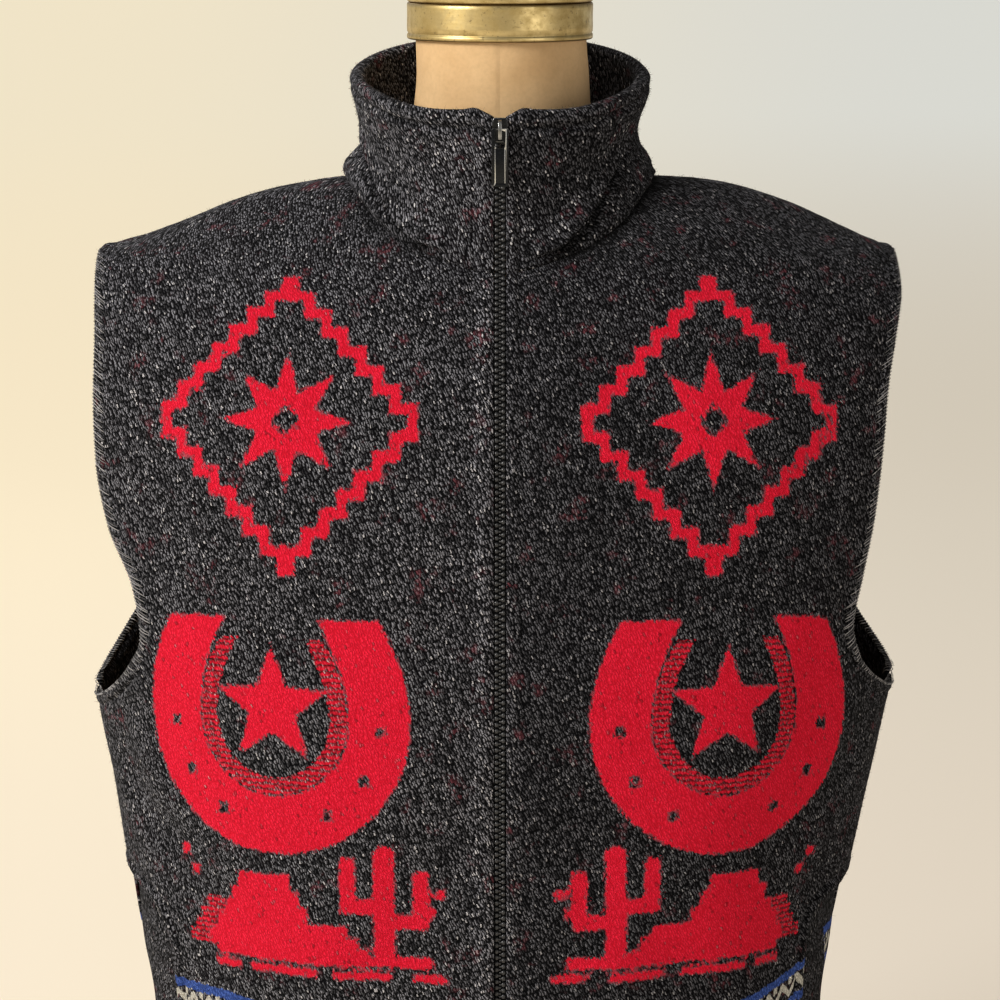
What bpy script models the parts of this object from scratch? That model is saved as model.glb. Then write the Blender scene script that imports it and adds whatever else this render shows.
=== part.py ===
"""A sleeveless western vest of blanket wool, zipped up on a compact limbless dress form.

Metres, +Z up. The origin is the middle of the base board's underside, +X is to the right in a
front view and +Y points away from the viewer. "left" and "right" are the sides of that view.
"""

import math
from collections import namedtuple

import bmesh
import bpy
import numpy as np

LEFT, RIGHT = -1, 1
FRONT, BACK = -1, 1
SIDES = {LEFT: "left", RIGHT: "right"}

# Driving dimensions of the cloth
WALL = 0.0025
SEAM = 0.0003
NECK_SEAM = 0.0005
HEM_Z = 0.095
ZIP_HALF_GAP = 0.0037
NECK_FRONT_Z = 0.6860
NECK_BACK_Z = 0.7300
SHOULDER_NECK_Z = 0.7375
SHOULDER_TIP_Z = 0.692
SQUARENESS = 2.2

# The outer surface of the closed vest: half widths and depths of its level sections. From the
# shoulder tips up, the widths are those of the shoulder line. Between the underarms and the
# tips they run on past the armholes, so that the armhole edges keep their depth.
Section = namedtuple("Section", "z left right front back")
SECTIONS = [
    Section(0.095, 0.223, 0.210, 0.136, 0.121),
    Section(0.150, 0.221, 0.207, 0.138, 0.117),
    Section(0.206, 0.2215, 0.206, 0.140, 0.113),
    Section(0.272, 0.2325, 0.2155, 0.144, 0.107),
    Section(0.338, 0.2415, 0.2300, 0.148, 0.105),
    Section(0.413, 0.2550, 0.2455, 0.153, 0.108),
    Section(0.440, 0.2640, 0.2525, 0.153, 0.111),
    Section(0.480, 0.2710, 0.2600, 0.1505, 0.114),
    Section(0.550, 0.2820, 0.2700, 0.1425, 0.118),
    Section(0.600, 0.2880, 0.2760, 0.1330, 0.1185),
    Section(0.650, 0.2860, 0.2750, 0.1140, 0.1140),
    Section(0.676, 0.2700, 0.2630, 0.0985, 0.1070),
    Section(0.692, 0.2480, 0.2440, 0.0855, 0.1010),
    Section(0.6980, 0.2260, 0.2285, 0.0790, 0.0990),
    Section(0.7093, 0.1950, 0.2040, 0.0650, 0.0940),
    Section(0.7216, 0.1640, 0.1760, 0.048, 0.086),
    Section(0.7290, 0.1380, 0.1500, 0.037, 0.074),
    Section(0.7340, 0.1130, 0.1258, 0.024, 0.050),
    Section(0.7365, 0.0990, 0.1040, 0.014, 0.026),
    Section(0.7375, 0.0945, 0.0945, 0.010, 0.015),
]

# The armhole edges, as distances from the centre line, bottom to top. The first row is the
# underarm, where both edges meet the side seam, and the last is the shoulder tip.
ArmholeRow = namedtuple("ArmholeRow", "rise front_left front_right back_left back_right")
UNDERARM_Z = {LEFT: 0.4135, RIGHT: 0.4215}
ARMHOLE = [
    ArmholeRow(0.0000, None, None, None, None),
    ArmholeRow(0.0080, 0.2520, 0.2430, 0.2570, 0.2500),
    ArmholeRow(0.0330, 0.2450, 0.2360, 0.2540, 0.2470),
    ArmholeRow(0.0680, 0.2360, 0.2270, 0.2480, 0.2405),
    ArmholeRow(0.1120, 0.2270, 0.2195, 0.2405, 0.2320),
    ArmholeRow(0.1850, 0.2180, 0.2145, 0.2285, 0.2225),
    ArmholeRow(0.2950, 0.2225, 0.2200, 0.2215, 0.2170),
    ArmholeRow(0.4250, 0.2378, 0.2270, 0.2200, 0.2160),
    ArmholeRow(0.5650, 0.2450, 0.2315, 0.2225, 0.2190),
    ArmholeRow(0.7100, 0.2463, 0.2350, 0.2280, 0.2245),
    ArmholeRow(0.8400, 0.2458, 0.2412, 0.2365, 0.2330),
    ArmholeRow(0.9300, 0.2472, 0.2452, 0.2435, 0.2400),
    ArmholeRow(1.0000, None, None, None, None),
]

# The front neckline in a front view: distance from the centre against height, as fractions of
# the neck's half width and of the rise from the front centre to the shoulder.
NECK_HALF_WIDTH = 0.0945
NeckPoint = namedtuple("NeckPoint", "across front_rise back_rise")
NECKLINE = [
    NeckPoint(0.00, 0.000, 0.00),
    NeckPoint(0.20, 0.072, 0.05),
    NeckPoint(0.40, 0.190, 0.18),
    NeckPoint(0.59, 0.320, 0.36),
    NeckPoint(0.72, 0.470, 0.52),
    NeckPoint(0.82, 0.620, 0.66),
    NeckPoint(0.93, 0.850, 0.82),
    NeckPoint(0.985, 0.955, 0.93),
    NeckPoint(1.00, 1.000, 1.00),
]

# The curved pocket openings: where the front's edge runs, from the hem to the side seam.
PocketPoint = namedtuple("PocketPoint", "z left right")
POCKET_TOP_Z = 0.305
POCKET_EDGE = [
    PocketPoint(0.0950, 0.1985, 0.1880),
    PocketPoint(0.1500, 0.2000, 0.1885),
    PocketPoint(0.2050, 0.2005, 0.1890),
    PocketPoint(0.2400, 0.2015, 0.1893),
    PocketPoint(0.2620, 0.2035, 0.1905),
    PocketPoint(0.2780, 0.2080, 0.1938),
    PocketPoint(0.2900, 0.2145, 0.2000),
    PocketPoint(0.2955, 0.2222, 0.2072),
    PocketPoint(0.2995, 0.2298, 0.2146),
    PocketPoint(0.3028, 0.2350, 0.2198),
    PocketPoint(0.3050, None, None),
]
FACING_WALL = 0.0020
FACING_DEPTH = WALL + 0.0016
FACING_UNDERLAP = 0.024
FACING_TOP_Z = 0.326
FACING_BLEND_Z = 0.292

# The collar: its top loop, and its section from the neck seam up to the rolled edge. Swell is
# how far the outside stands out from the straight line between the two, at front, side, back.
COLLAR_TOP_HALF_WIDTH = 0.0925
COLLAR_TOP_HALF_DEPTH = 0.0855
COLLAR_TOP_FRONT_Z = 0.7830
COLLAR_TOP_BACK_Z = 0.8198
COLLAR_NOTCH_DEPTH = 0.0045
COLLAR_NOTCH_WIDTH = 0.016
CollarRow = namedtuple("CollarRow", "height front side back wall")
COLLAR = [
    CollarRow(0.00, 0.0000, 0.0000, 0.0000, 0.0050),
    CollarRow(0.10, -0.0026, 0.0030, 0.0005, 0.0052),
    CollarRow(0.20, -0.0040, -0.0030, -0.0030, 0.0054),
    CollarRow(0.31, -0.0045, -0.0086, -0.0045, 0.0056),
    CollarRow(0.55, -0.0034, -0.0054, -0.0040, 0.0064),
    CollarRow(0.78, -0.0015, -0.0018, -0.0018, 0.0080),
    CollarRow(0.92, 0.0000, 0.0000, 0.0000, 0.0096),
]
COLLAR_ROLL_ANGLES = (35, 65, 90, 115, 145)

# The zip
CHAIN_HALF_WIDTH = 0.0030
CHAIN_FRONT, CHAIN_BACK = 0.0004, 0.0029
ZIP_BOX_FRONT, ZIP_BOX_BACK = -0.0004, 0.0030
TAPE_FRONT, TAPE_BACK = 0.0034, 0.0043
TAPE_WIDTH = 0.0120
TAPE_TOP_HALF_WIDTH = 0.0034
ZIP_BOX_HEIGHT = 0.0085
ZIP_HEM_RISE = 0.001
ZIP_TOP_HEIGHT = 0.975
SLIDER_BOTTOM_Z, SLIDER_TOP_Z = 0.7635, 0.7785
SLIDER_TOP_WIDTH, SLIDER_BOTTOM_WIDTH = 0.0090, 0.0068
SLIDER_WALL = 0.0016
BRIDGE_WIDTH, BRIDGE_BAR = 0.0022, 0.0014
BRIDGE_ROOM = 0.0022
BRIDGE_INSET, BRIDGE_SLOPE = 0.0008, 0.0030
PULL_WIDTH, PULL_LENGTH, PULL_WALL = 0.0100, 0.0340, 0.0014
PULL_WINDOW_WIDTH, PULL_WINDOW_LENGTH = 0.0058, 0.0100
HINGE_Z = 0.7716

# The dress form
FormRow = namedtuple("FormRow", "z left right front back squareness")
BASE_HEIGHT = 0.018
BASE_HALF_WIDTH, BASE_HALF_DEPTH = 0.172, 0.128
BASE_TOP_EASE, BASE_FOOT_EASE = 0.004, 0.0015
FORM = [
    FormRow(0.0183, 0.146, 0.146, 0.098, 0.096, 2.2),
    FormRow(0.050, 0.157, 0.157, 0.103, 0.099, 2.2),
    FormRow(0.110, 0.165, 0.165, 0.106, 0.100, 2.2),
    FormRow(0.200, 0.153, 0.153, 0.102, 0.090, 2.2),
    FormRow(0.300, 0.131, 0.131, 0.095, 0.080, 2.2),
    FormRow(0.400, 0.142, 0.142, 0.108, 0.086, 2.2),
    FormRow(0.500, 0.158, 0.158, 0.121, 0.096, 2.2),
    FormRow(0.580, 0.172, 0.172, 0.118, 0.103, 2.2),
    FormRow(0.640, 0.187, 0.187, 0.101, 0.102, 2.1),
    FormRow(0.670, 0.194, 0.195, 0.088, 0.096, 2.0),
    FormRow(0.688, 0.193, 0.196, 0.079, 0.088, 1.9),
    FormRow(0.7000, 0.187, 0.193, 0.0715, 0.080, 1.7),
    FormRow(0.7090, 0.176, 0.186, 0.0670, 0.072, 1.5),
    FormRow(0.7180, 0.1640, 0.1760, 0.0625, 0.066, 1.15),
    FormRow(0.7254, 0.1380, 0.1500, 0.0600, 0.062, 0.97),
    FormRow(0.7303, 0.1130, 0.1258, 0.0585, 0.060, 0.90),
    FormRow(0.7330, 0.0980, 0.1030, 0.0580, 0.0590, 1.05),
    FormRow(0.7350, 0.0855, 0.0865, 0.0575, 0.0583, 1.4),
    FormRow(0.7400, 0.0755, 0.0760, 0.0566, 0.0574, 1.9),
    FormRow(0.7480, 0.0660, 0.0660, 0.0555, 0.0560, 2.0),
    FormRow(0.7600, 0.0585, 0.0585, 0.0545, 0.0548, 2.0),
    FormRow(0.7780, 0.0548, 0.0548, 0.0538, 0.0538, 2.0),
    FormRow(0.8190, 0.0530, 0.0530, 0.0530, 0.0530, 2.0),
    FormRow(0.8430, 0.0530, 0.0530, 0.0530, 0.0530, 2.0),
]
FORM_SEGMENTS = 40
FORM_TALLEST_RING = 0.065

# Turned brass pieces above the neck: radius against height, from the bottom of each piece.
BAND_BOTTOM_Z = 0.8210
BAND_BORE = 0.0534
CAP_BOTTOM_Z = 0.8438
TURNED_SEGMENTS = 48
BAND_OUTLINE = [
    (0.0563, 0.0000),
    (0.0573, 0.0008),
    (0.0573, 0.0030),
    (0.0568, 0.0040),
    (0.0572, 0.0190),
    (0.0572, 0.0215),
    (0.0564, 0.0225),
]
CAP_OUTLINE = [
    (0.0562, 0.0000),
    (0.0572, 0.0012),
    (0.0573, 0.0130),
    (0.0566, 0.0150),
    (0.0500, 0.0166),
    (0.0300, 0.0196),
    (0.0100, 0.0212),
]

Finish = namedtuple("Finish", "colour roughness metallic")
FINISHES = {
    "blanket_wool": Finish((0.035, 0.035, 0.038), 0.95, 0.0),
    "zip_tape": Finish((0.012, 0.012, 0.013), 0.9, 0.0),
    "zip_metal": Finish((0.030, 0.030, 0.032), 0.35, 0.9),
    "form_cloth": Finish((0.60, 0.42, 0.24), 0.85, 0.0),
    "brass": Finish((0.52, 0.38, 0.15), 0.35, 1.0),
    "base_wood": Finish((0.16, 0.075, 0.030), 0.45, 0.0),
}


def clear_scene():
    for thing in list(bpy.data.objects):
        bpy.data.objects.remove(thing, do_unlink=True)


def material(name):
    found = bpy.data.materials.get(name)
    if found:
        return found
    finish = FINISHES[name]
    made = bpy.data.materials.new(name)
    made.use_nodes = True
    shader = made.node_tree.nodes["Principled BSDF"]
    shader.inputs["Base Color"].default_value = (*finish.colour, 1.0)
    shader.inputs["Roughness"].default_value = finish.roughness
    shader.inputs["Metallic"].default_value = finish.metallic
    return made


def add_object(name, points, faces, finish, parent, smooth_angle=40.0):
    mesh = bpy.data.meshes.new(name)
    mesh.from_pydata([tuple(point) for point in points], [], faces)
    work = bmesh.new()
    work.from_mesh(mesh)
    bmesh.ops.recalc_face_normals(work, faces=work.faces)
    work.to_mesh(mesh)
    work.free()
    mesh.shade_smooth()
    mesh.set_sharp_from_angle(angle=math.radians(smooth_angle))
    mesh.materials.append(material(finish))
    made = bpy.data.objects.new(name, mesh)
    bpy.context.scene.collection.objects.link(made)
    made.parent = parent
    return made


def column_curve(rows, key, column, at):
    """Monotone cubic through one column of a table, read at the given keys."""
    x = np.array([getattr(row, key) for row in rows])
    y = np.array([getattr(row, column) for row in rows])
    step = np.diff(x)
    slope = np.diff(y) / step
    tangent = np.zeros_like(y)
    tangent[0], tangent[-1] = slope[0], slope[-1]
    same_way = slope[:-1] * slope[1:] > 0
    before, after = slope[:-1][same_way], slope[1:][same_way]
    tangent[1:-1][same_way] = 2 * before * after / (before + after)
    at = np.clip(np.asarray(at, dtype=float), x[0], x[-1])
    cell = np.clip(np.searchsorted(x, at, side="right") - 1, 0, len(step) - 1)
    width = step[cell]
    u = (at - x[cell]) / width
    start = (1 + 2 * u) * (1 - u) ** 2 * y[cell] + u * (1 - u) ** 2 * width * tangent[cell]
    end = u**2 * (3 - 2 * u) * y[cell + 1] + u**2 * (u - 1) * width * tangent[cell + 1]
    return start + end


def signed_power(value, power):
    return np.sign(value) * np.abs(value) ** power


def smooth_step(value):
    value = np.clip(value, 0.0, 1.0)
    return value * value * (3 - 2 * value)


def half_width(side, z):
    return column_curve(SECTIONS, "z", SIDES[side], z)


def depth(face, z):
    return column_curve(SECTIONS, "z", "front" if face == FRONT else "back", z)


def body_point(side, face, turn, z, gap=SEAM / 2):
    """A point of the vest's outer surface. Turn runs from 0 at the centre to pi/2 at the side."""
    turn, z = np.broadcast_arrays(np.asarray(turn, float), np.asarray(z, float))
    power = 2 / SQUARENESS
    x = side * half_width(side, z) * signed_power(np.sin(turn), power)
    y = face * (depth(face, z) * signed_power(np.cos(turn), power) + gap)
    return np.stack([x, y, z], axis=-1)


def body_normal(side, face, turn, z):
    small_turn, small_z = 0.01, 0.0008
    top = SECTIONS[-1].z
    across = body_point(side, face, turn + small_turn, z)
    across = across - body_point(side, face, turn - small_turn, z)
    above = body_point(side, face, turn, np.minimum(z + small_z, top))
    below = body_point(side, face, turn, np.minimum(z + small_z, top) - 2 * small_z)
    normal = np.cross(across, above - below)
    normal /= np.linalg.norm(normal, axis=-1, keepdims=True)
    here = body_point(side, face, turn, z)
    outward = np.sign(normal[..., 0] * here[..., 0] + normal[..., 1] * here[..., 1])
    return normal * outward[..., None]


def turn_at(side, x, z):
    """The turn at which the surface is this far from the centre line."""
    share = np.clip(np.abs(x) / half_width(side, z), 0.0, 1.0)
    return np.arcsin(share ** (SQUARENESS / 2))


def pocket_turn(side, z):
    """Where the front's edge runs along the pocket opening, and the side seam above it."""
    if z > POCKET_TOP_Z - 1e-6:
        return math.pi / 2
    edge_x = column_curve(POCKET_EDGE[:-1], "z", SIDES[side], z)
    return float(turn_at(side, edge_x, z))


def armhole_edge(side, face):
    """(turn, z) of each row of the armhole's edge, underarm first."""
    low, high = UNDERARM_Z[side], SHOULDER_TIP_Z
    column = f"{'front' if face == FRONT else 'back'}_{SIDES[side]}"
    edge = []
    for row in ARMHOLE:
        z = low + row.rise * (high - low)
        x = getattr(row, column)
        edge.append((math.pi / 2 if x is None else float(turn_at(side, x, z)), z))
    return edge


def neckline(side, face, shares):
    """(turn, z) along the neck seam, from the centre to the shoulder."""
    low = NECK_FRONT_Z if face == FRONT else NECK_BACK_Z
    rise = "front_rise" if face == FRONT else "back_rise"
    dense = np.linspace(0.0, 1.0, 400)
    z = low + column_curve(NECKLINE, "across", rise, dense) * (SHOULDER_NECK_Z - low)
    turn = turn_at(side, dense * NECK_HALF_WIDTH, z)
    turn[-1] = math.pi / 2
    points = body_point(side, face, turn, z)
    run = np.concatenate([[0], np.cumsum(np.linalg.norm(np.diff(points, axis=0), axis=1))])
    at = np.interp(shares, run / run[-1], dense)
    z = np.interp(at, dense, z)
    return np.interp(at, dense, turn), z


def wall(outer, inner):
    """Points and faces of a closed wall between two grids of the same size."""
    rows, columns = outer.shape[:2]
    count = rows * columns
    points = np.concatenate([outer.reshape(-1, 3), inner.reshape(-1, 3)])

    def at(row, column, layer):
        return layer * count + row * columns + column

    faces = []
    for row in range(rows - 1):
        for column in range(columns - 1):
            a, b = at(row, column, 0), at(row, column + 1, 0)
            c, d = at(row + 1, column + 1, 0), at(row + 1, column, 0)
            faces.append((a, b, c, d))
            faces.append((a + count, d + count, c + count, b + count))
    border = [(0, column) for column in range(columns)]
    border += [(row, columns - 1) for row in range(1, rows)]
    border += [(rows - 1, column) for column in range(columns - 2, -1, -1)]
    border += [(row, 0) for row in range(rows - 2, 0, -1)]
    for here, there in zip(border, border[1:] + border[:1]):
        a, b = at(*here, 0), at(*there, 0)
        faces.append((b, a, a + count, b + count))
    return points, faces


# Row levels shared by the fronts, the back and the zip: heights at the centre line.
MIDDLE_ROWS = 3
SHOULDER_LEVELS = (0.11, 0.36, 0.60, 0.79, 0.93, 1.0)
CENTRE_POCKET_Z = 0.292
CENTRE_UNDERARM_Z = 0.388
CENTRE_TIP_Z = {FRONT: 0.652, BACK: 0.664}
POCKET_LEVELS = [(row.z - HEM_Z) / (POCKET_TOP_Z - HEM_Z) for row in POCKET_EDGE]


def lower_rows(side, face):
    """(centre z, edge z) of the rows from the hem to the underarm."""
    rows = []
    for level in POCKET_LEVELS:
        centre = HEM_Z + level * (CENTRE_POCKET_Z - HEM_Z)
        rows.append((centre, HEM_Z + level * (POCKET_TOP_Z - HEM_Z)))
    for step in range(1, MIDDLE_ROWS + 1):
        share = step / MIDDLE_ROWS
        centre = CENTRE_POCKET_Z + share * (CENTRE_UNDERARM_Z - CENTRE_POCKET_Z)
        rows.append((centre, POCKET_TOP_Z + share * (UNDERARM_Z[side] - POCKET_TOP_Z)))
    return rows


def upper_levels(face):
    """Heights at the centre line, from the underarm's row to the neckline."""
    top = NECK_FRONT_Z if face == FRONT else NECK_BACK_Z
    armhole = np.linspace(CENTRE_UNDERARM_Z, CENTRE_TIP_Z[face], len(ARMHOLE))
    shoulder = np.linspace(CENTRE_TIP_Z[face], top, len(SHOULDER_LEVELS) + 1)
    return np.concatenate([armhole, shoulder[1:]])


def pulled_in(edge_turn, shares):
    """How far a row's columns move in so that the last one meets an edge short of the side."""
    inset = math.pi / 2 - edge_turn
    power = min(4.0, 1.25 / max(inset, 0.01))
    return inset * shares**power


def panel_grid(side, face, columns, first_x):
    """(turn, z) grids of one half of the front or back, from the hem to the neckline."""
    shares = np.linspace(0.0, 1.0, columns + 1)
    turns, heights = [], []
    for centre_z, edge_z in lower_rows(side, face):
        z = centre_z + smooth_step(shares) * (edge_z - centre_z)
        edge_turn = pocket_turn(side, edge_z) if face == FRONT else math.pi / 2
        first = turn_at(side, first_x, centre_z)
        turns.append(first + shares * (math.pi / 2 - first) - pulled_in(edge_turn, shares))
        heights.append(z)
    bottom_turn, bottom_z = turns[-1], heights[-1]
    top_turn, top_z = neckline(side, face, shares)
    first_top = turn_at(side, first_x, top_z[0])
    top_turn = np.maximum(top_turn, first_top + shares * 0.02)
    centre_z = upper_levels(face)
    levels = (centre_z - centre_z[0]) / (centre_z[-1] - centre_z[0])
    edge = armhole_edge(side, face)
    for share in SHOULDER_LEVELS:
        edge.append((math.pi / 2, SHOULDER_TIP_Z + share * (SHOULDER_NECK_Z - SHOULDER_TIP_Z)))
    for level, z_first, (edge_turn, edge_z) in list(zip(levels, centre_z, edge))[1:]:
        first = float(turn_at(side, first_x, z_first))
        corners_turn = (
            (1 - shares) * (1 - level) * bottom_turn[0]
            + shares * (1 - level) * bottom_turn[-1]
            + (1 - shares) * level * top_turn[0]
            + shares * level * top_turn[-1]
        )
        corners_z = (
            (1 - shares) * (1 - level) * bottom_z[0]
            + shares * (1 - level) * bottom_z[-1]
            + (1 - shares) * level * top_z[0]
            + shares * level * top_z[-1]
        )
        across_turn = (1 - level) * bottom_turn + level * top_turn
        across_z = (1 - level) * bottom_z + level * top_z
        along_turn = (1 - shares) * first + shares * math.pi / 2 - pulled_in(edge_turn, shares)
        along_z = (1 - shares) * z_first + shares * edge_z
        turns.append(across_turn + along_turn - corners_turn)
        heights.append(across_z + along_z - corners_z)
    return np.array(turns), np.array(heights)


FRONT_COLUMNS = 12
BACK_COLUMNS = 11


def build_front(side, parent):
    turn, z = panel_grid(side, FRONT, FRONT_COLUMNS, ZIP_HALF_GAP)
    outer = body_point(side, FRONT, turn, z)
    outer[:, 0, 0] = side * ZIP_HALF_GAP
    inner = outer - WALL * body_normal(side, FRONT, turn, z)
    inner[:, 0, 0] = side * ZIP_HALF_GAP
    points, faces = wall(outer, inner)
    return add_object(f"front_{SIDES[side]}", points, faces, "blanket_wool", parent)


def build_back(parent):
    halves = []
    for side in (LEFT, RIGHT):
        turn, z = panel_grid(side, BACK, BACK_COLUMNS, 0.0)
        outer = body_point(side, BACK, turn, z)
        inner = outer - WALL * body_normal(side, BACK, turn, z)
        inner[:, 0, 0] = 0.0
        halves.append((outer, inner))
    (left_outer, left_inner), (right_outer, right_inner) = halves
    outer = np.concatenate([left_outer[:, ::-1], right_outer[:, 1:]], axis=1)
    inner = np.concatenate([left_inner[:, ::-1], right_inner[:, 1:]], axis=1)
    points, faces = wall(outer, inner)
    return add_object("back", points, faces, "blanket_wool", parent)


def build_pocket_facing(side, parent):
    """The under piece of a pocket: it starts behind the front's edge and ends at the side seam."""
    levels = [HEM_Z + level * (POCKET_TOP_Z - HEM_Z) for level in POCKET_LEVELS]
    levels.append(FACING_TOP_Z)
    shares = np.linspace(0.0, 1.0, 6)
    turns, heights, depths = [], [], []
    for z in levels:
        edge_turn = pocket_turn(side, z)
        edge_x = column_curve(POCKET_EDGE[:-1], "z", SIDES[side], z)
        first = float(turn_at(side, edge_x - FACING_UNDERLAP, z))
        turn = first + shares * (math.pi / 2 - first)
        past_edge = (turn - edge_turn) / max(math.pi / 2 - edge_turn, 0.2)
        below_top = smooth_step((FACING_BLEND_Z - z) / 0.05)
        turns.append(turn)
        heights.append(np.full_like(turn, z))
        depths.append(FACING_DEPTH * (1 - smooth_step(past_edge) * below_top))
    turn, z, depth_in = np.array(turns), np.array(heights), np.array(depths)
    normal = body_normal(side, FRONT, turn, z)
    outer = body_point(side, FRONT, turn, z) - depth_in[..., None] * normal
    inner = outer - FACING_WALL * normal
    points, faces = wall(outer, inner)
    return add_object(f"pocket_facing_{SIDES[side]}", points, faces, "blanket_wool", parent)


COLLAR_COLUMNS = 15


def even_shares(points, shares):
    """Positions along a polyline at even shares of its length."""
    run = np.concatenate([[0], np.cumsum(np.linalg.norm(np.diff(points, axis=0), axis=1))])
    columns = [np.interp(shares, run / run[-1], points[:, axis]) for axis in range(3)]
    return np.stack(columns, axis=-1)


def collar_base(side, shares):
    """The neck seam of one half, from the zip to the middle of the back."""
    dense = np.linspace(0.0, 1.0, 200)
    front = body_point(side, FRONT, *neckline(side, FRONT, dense), gap=0.0)
    back = body_point(side, BACK, *neckline(side, BACK, dense), gap=0.0)
    seam = even_shares(np.concatenate([front, back[::-1][1:]]), shares)
    seam[0, 0] = side * ZIP_HALF_GAP
    seam[:, 2] += NECK_SEAM
    return seam


def collar_top(side, shares):
    """The crest of the rolled edge of one half, from the zip to the middle of the back."""
    angle = np.linspace(0.0, math.pi, 400)
    y = -COLLAR_TOP_HALF_DEPTH * np.cos(angle)
    back_share = (1 - np.cos(angle)) / 2
    z = COLLAR_TOP_FRONT_Z + back_share * (COLLAR_TOP_BACK_Z - COLLAR_TOP_FRONT_Z)
    loop = np.stack([side * COLLAR_TOP_HALF_WIDTH * np.sin(angle), y, z], axis=-1)
    crest = even_shares(loop, shares)
    crest[0, 0] = side * ZIP_HALF_GAP
    near_zip = np.clip(1 - (np.abs(crest[:, 0]) - ZIP_HALF_GAP) / COLLAR_NOTCH_WIDTH, 0, 1)
    crest[:, 2] -= np.where(crest[:, 1] < 0, COLLAR_NOTCH_DEPTH * near_zip**2, 0)
    return crest


def collar_swell(height, angle):
    """How far the outside stands out, at a share of the height and an angle from the front."""
    front = column_curve(COLLAR, "height", "front", height)
    side = column_curve(COLLAR, "height", "side", height)
    back = column_curve(COLLAR, "height", "back", height)
    facing = np.cos(angle)
    return side + np.where(facing > 0, (front - side), (back - side)) * facing**2


def collar_section(base, crest, outward, angle):
    """The closed section at one place: up the outside, over the roll and down the inside."""
    rise = crest - base
    height = np.linalg.norm(rise)
    roll = COLLAR[-1].wall / 2
    roll_centre = 1 - roll / height
    levels = [row.height for row in COLLAR[:-1]] + [roll_centre]
    outside, inside = [], []
    for level in levels:
        swell = float(collar_swell(level, angle))
        thick = float(column_curve(COLLAR, "height", "wall", level))
        at = base + level * rise
        outside.append(at + swell * outward)
        inside.append(at + (swell - thick) * outward)
    over = []
    for degrees in COLLAR_ROLL_ANGLES:
        tip = math.radians(degrees)
        level = roll_centre + roll * math.sin(tip) / height
        over.append(base + level * rise + roll * (math.cos(tip) - 1) * outward)
    return outside + over + inside[::-1]


def build_collar(parent):
    """One folded strip round the neck, open at the zip."""
    shares = np.concatenate([[0.0, 0.022], np.linspace(0.06, 1.0, COLLAR_COLUMNS)])
    sections = []
    for side in (RIGHT, LEFT):
        base, crest = collar_base(side, shares), collar_top(side, shares)
        half = []
        for column, (here, top) in enumerate(zip(base, crest)):
            angle = math.atan2(abs(top[0]), -top[1]) if column else 0.0
            outward = np.array([side * math.sin(angle), -math.cos(angle), 0.0])
            half.append(collar_section(here, top, outward, angle))
        half[-1] = [(0.0, y, z) for _, y, z in half[-1]]
        sections += half if side == RIGHT else half[-2::-1]
    size = len(sections[0])
    points = [point for section in sections for point in section]
    faces = []
    for column in range(len(sections) - 1):
        for here in range(size):
            there = (here + 1) % size
            a, b = column * size + here, column * size + there
            faces.append((a, b, b + size, a + size))
    levels = len(COLLAR)
    last = (len(sections) - 1) * size
    for start in (0, last):
        for level in range(levels - 1):
            corners = (level, level + 1, size - 2 - level, size - 1 - level)
            faces.append(tuple(start + corner for corner in corners))
        faces.append(tuple(start + corner for corner in range(levels - 1, size - levels + 1)))
    return add_object("collar", points, faces, "blanket_wool", parent)


def front_line():
    """(y, z) of the outer cloth along the centre front, hem to collar top."""
    heights = [centre for centre, _ in lower_rows(LEFT, FRONT)]
    heights += list(upper_levels(FRONT)[1:])
    line = [(-float(depth(FRONT, z)) - SEAM / 2, z) for z in heights]
    base = collar_base(RIGHT, np.array([0.0, 1.0]))[0]
    crest = collar_top(RIGHT, np.array([0.0, 1.0]))[0]
    for level in [row.height for row in COLLAR[1:]]:
        at = base + level * (crest - base)
        line.append((at[1] - float(collar_swell(level, 0.0)), at[2]))
    return line


def line_frames(line):
    """Points of the line with the directions that point into the cloth."""
    frames = []
    for index, (y, z) in enumerate(line):
        y_before, z_before = line[max(index - 1, 0)]
        y_after, z_after = line[min(index + 1, len(line) - 1)]
        along = np.array([y_after - y_before, z_after - z_before])
        along /= np.linalg.norm(along)
        frames.append((np.array([y, z]), np.array([along[1], -along[0]])))
    return frames


def cut_line(line, low, high):
    """The part of a line between two heights, with a point at each."""
    ys, zs = np.array(line).T
    inside = [(y, z) for y, z in line if low + 1e-4 < z < high - 1e-4]
    ends = [(float(np.interp(z, zs, ys)), z) for z in (low, high)]
    return [ends[0]] + inside + [ends[1]]


def strip(name, line, edges, front, back, finish, parent):
    """A flat strip along the centre front. edges gives its two x values at a height."""
    points = []
    for at, inward in line_frames(line):
        first, last = edges(at[1])
        for x, offset in ((first, front), (last, front), (last, back), (first, back)):
            y, z = at + offset * inward
            points.append((x, y, z))
    faces = []
    for row in range(len(line) - 1):
        for corner in range(4):
            a, b = row * 4 + corner, row * 4 + (corner + 1) % 4
            faces.append((a, b, b + 4, a + 4))
    last_row = (len(line) - 1) * 4
    faces.append((0, 1, 2, 3))
    faces.append(tuple(last_row + corner for corner in range(4)))
    return add_object(name, points, faces, finish, parent)


def chain_edges(z):
    return -CHAIN_HALF_WIDTH, CHAIN_HALF_WIDTH


def tape_edges(side):
    def edges(z):
        in_collar = smooth_step((z - (NECK_FRONT_Z - 0.030)) / 0.025)
        reach = TAPE_WIDTH + float(in_collar) * (TAPE_TOP_HALF_WIDTH - TAPE_WIDTH)
        return side * SEAM / 2, side * reach

    return edges


def zip_top_z():
    """Height of the top end of the zip, just under the collar's notch."""
    base_z = NECK_FRONT_Z + NECK_SEAM
    return base_z + ZIP_TOP_HEIGHT * (COLLAR_TOP_FRONT_Z - COLLAR_NOTCH_DEPTH - base_z)


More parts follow.
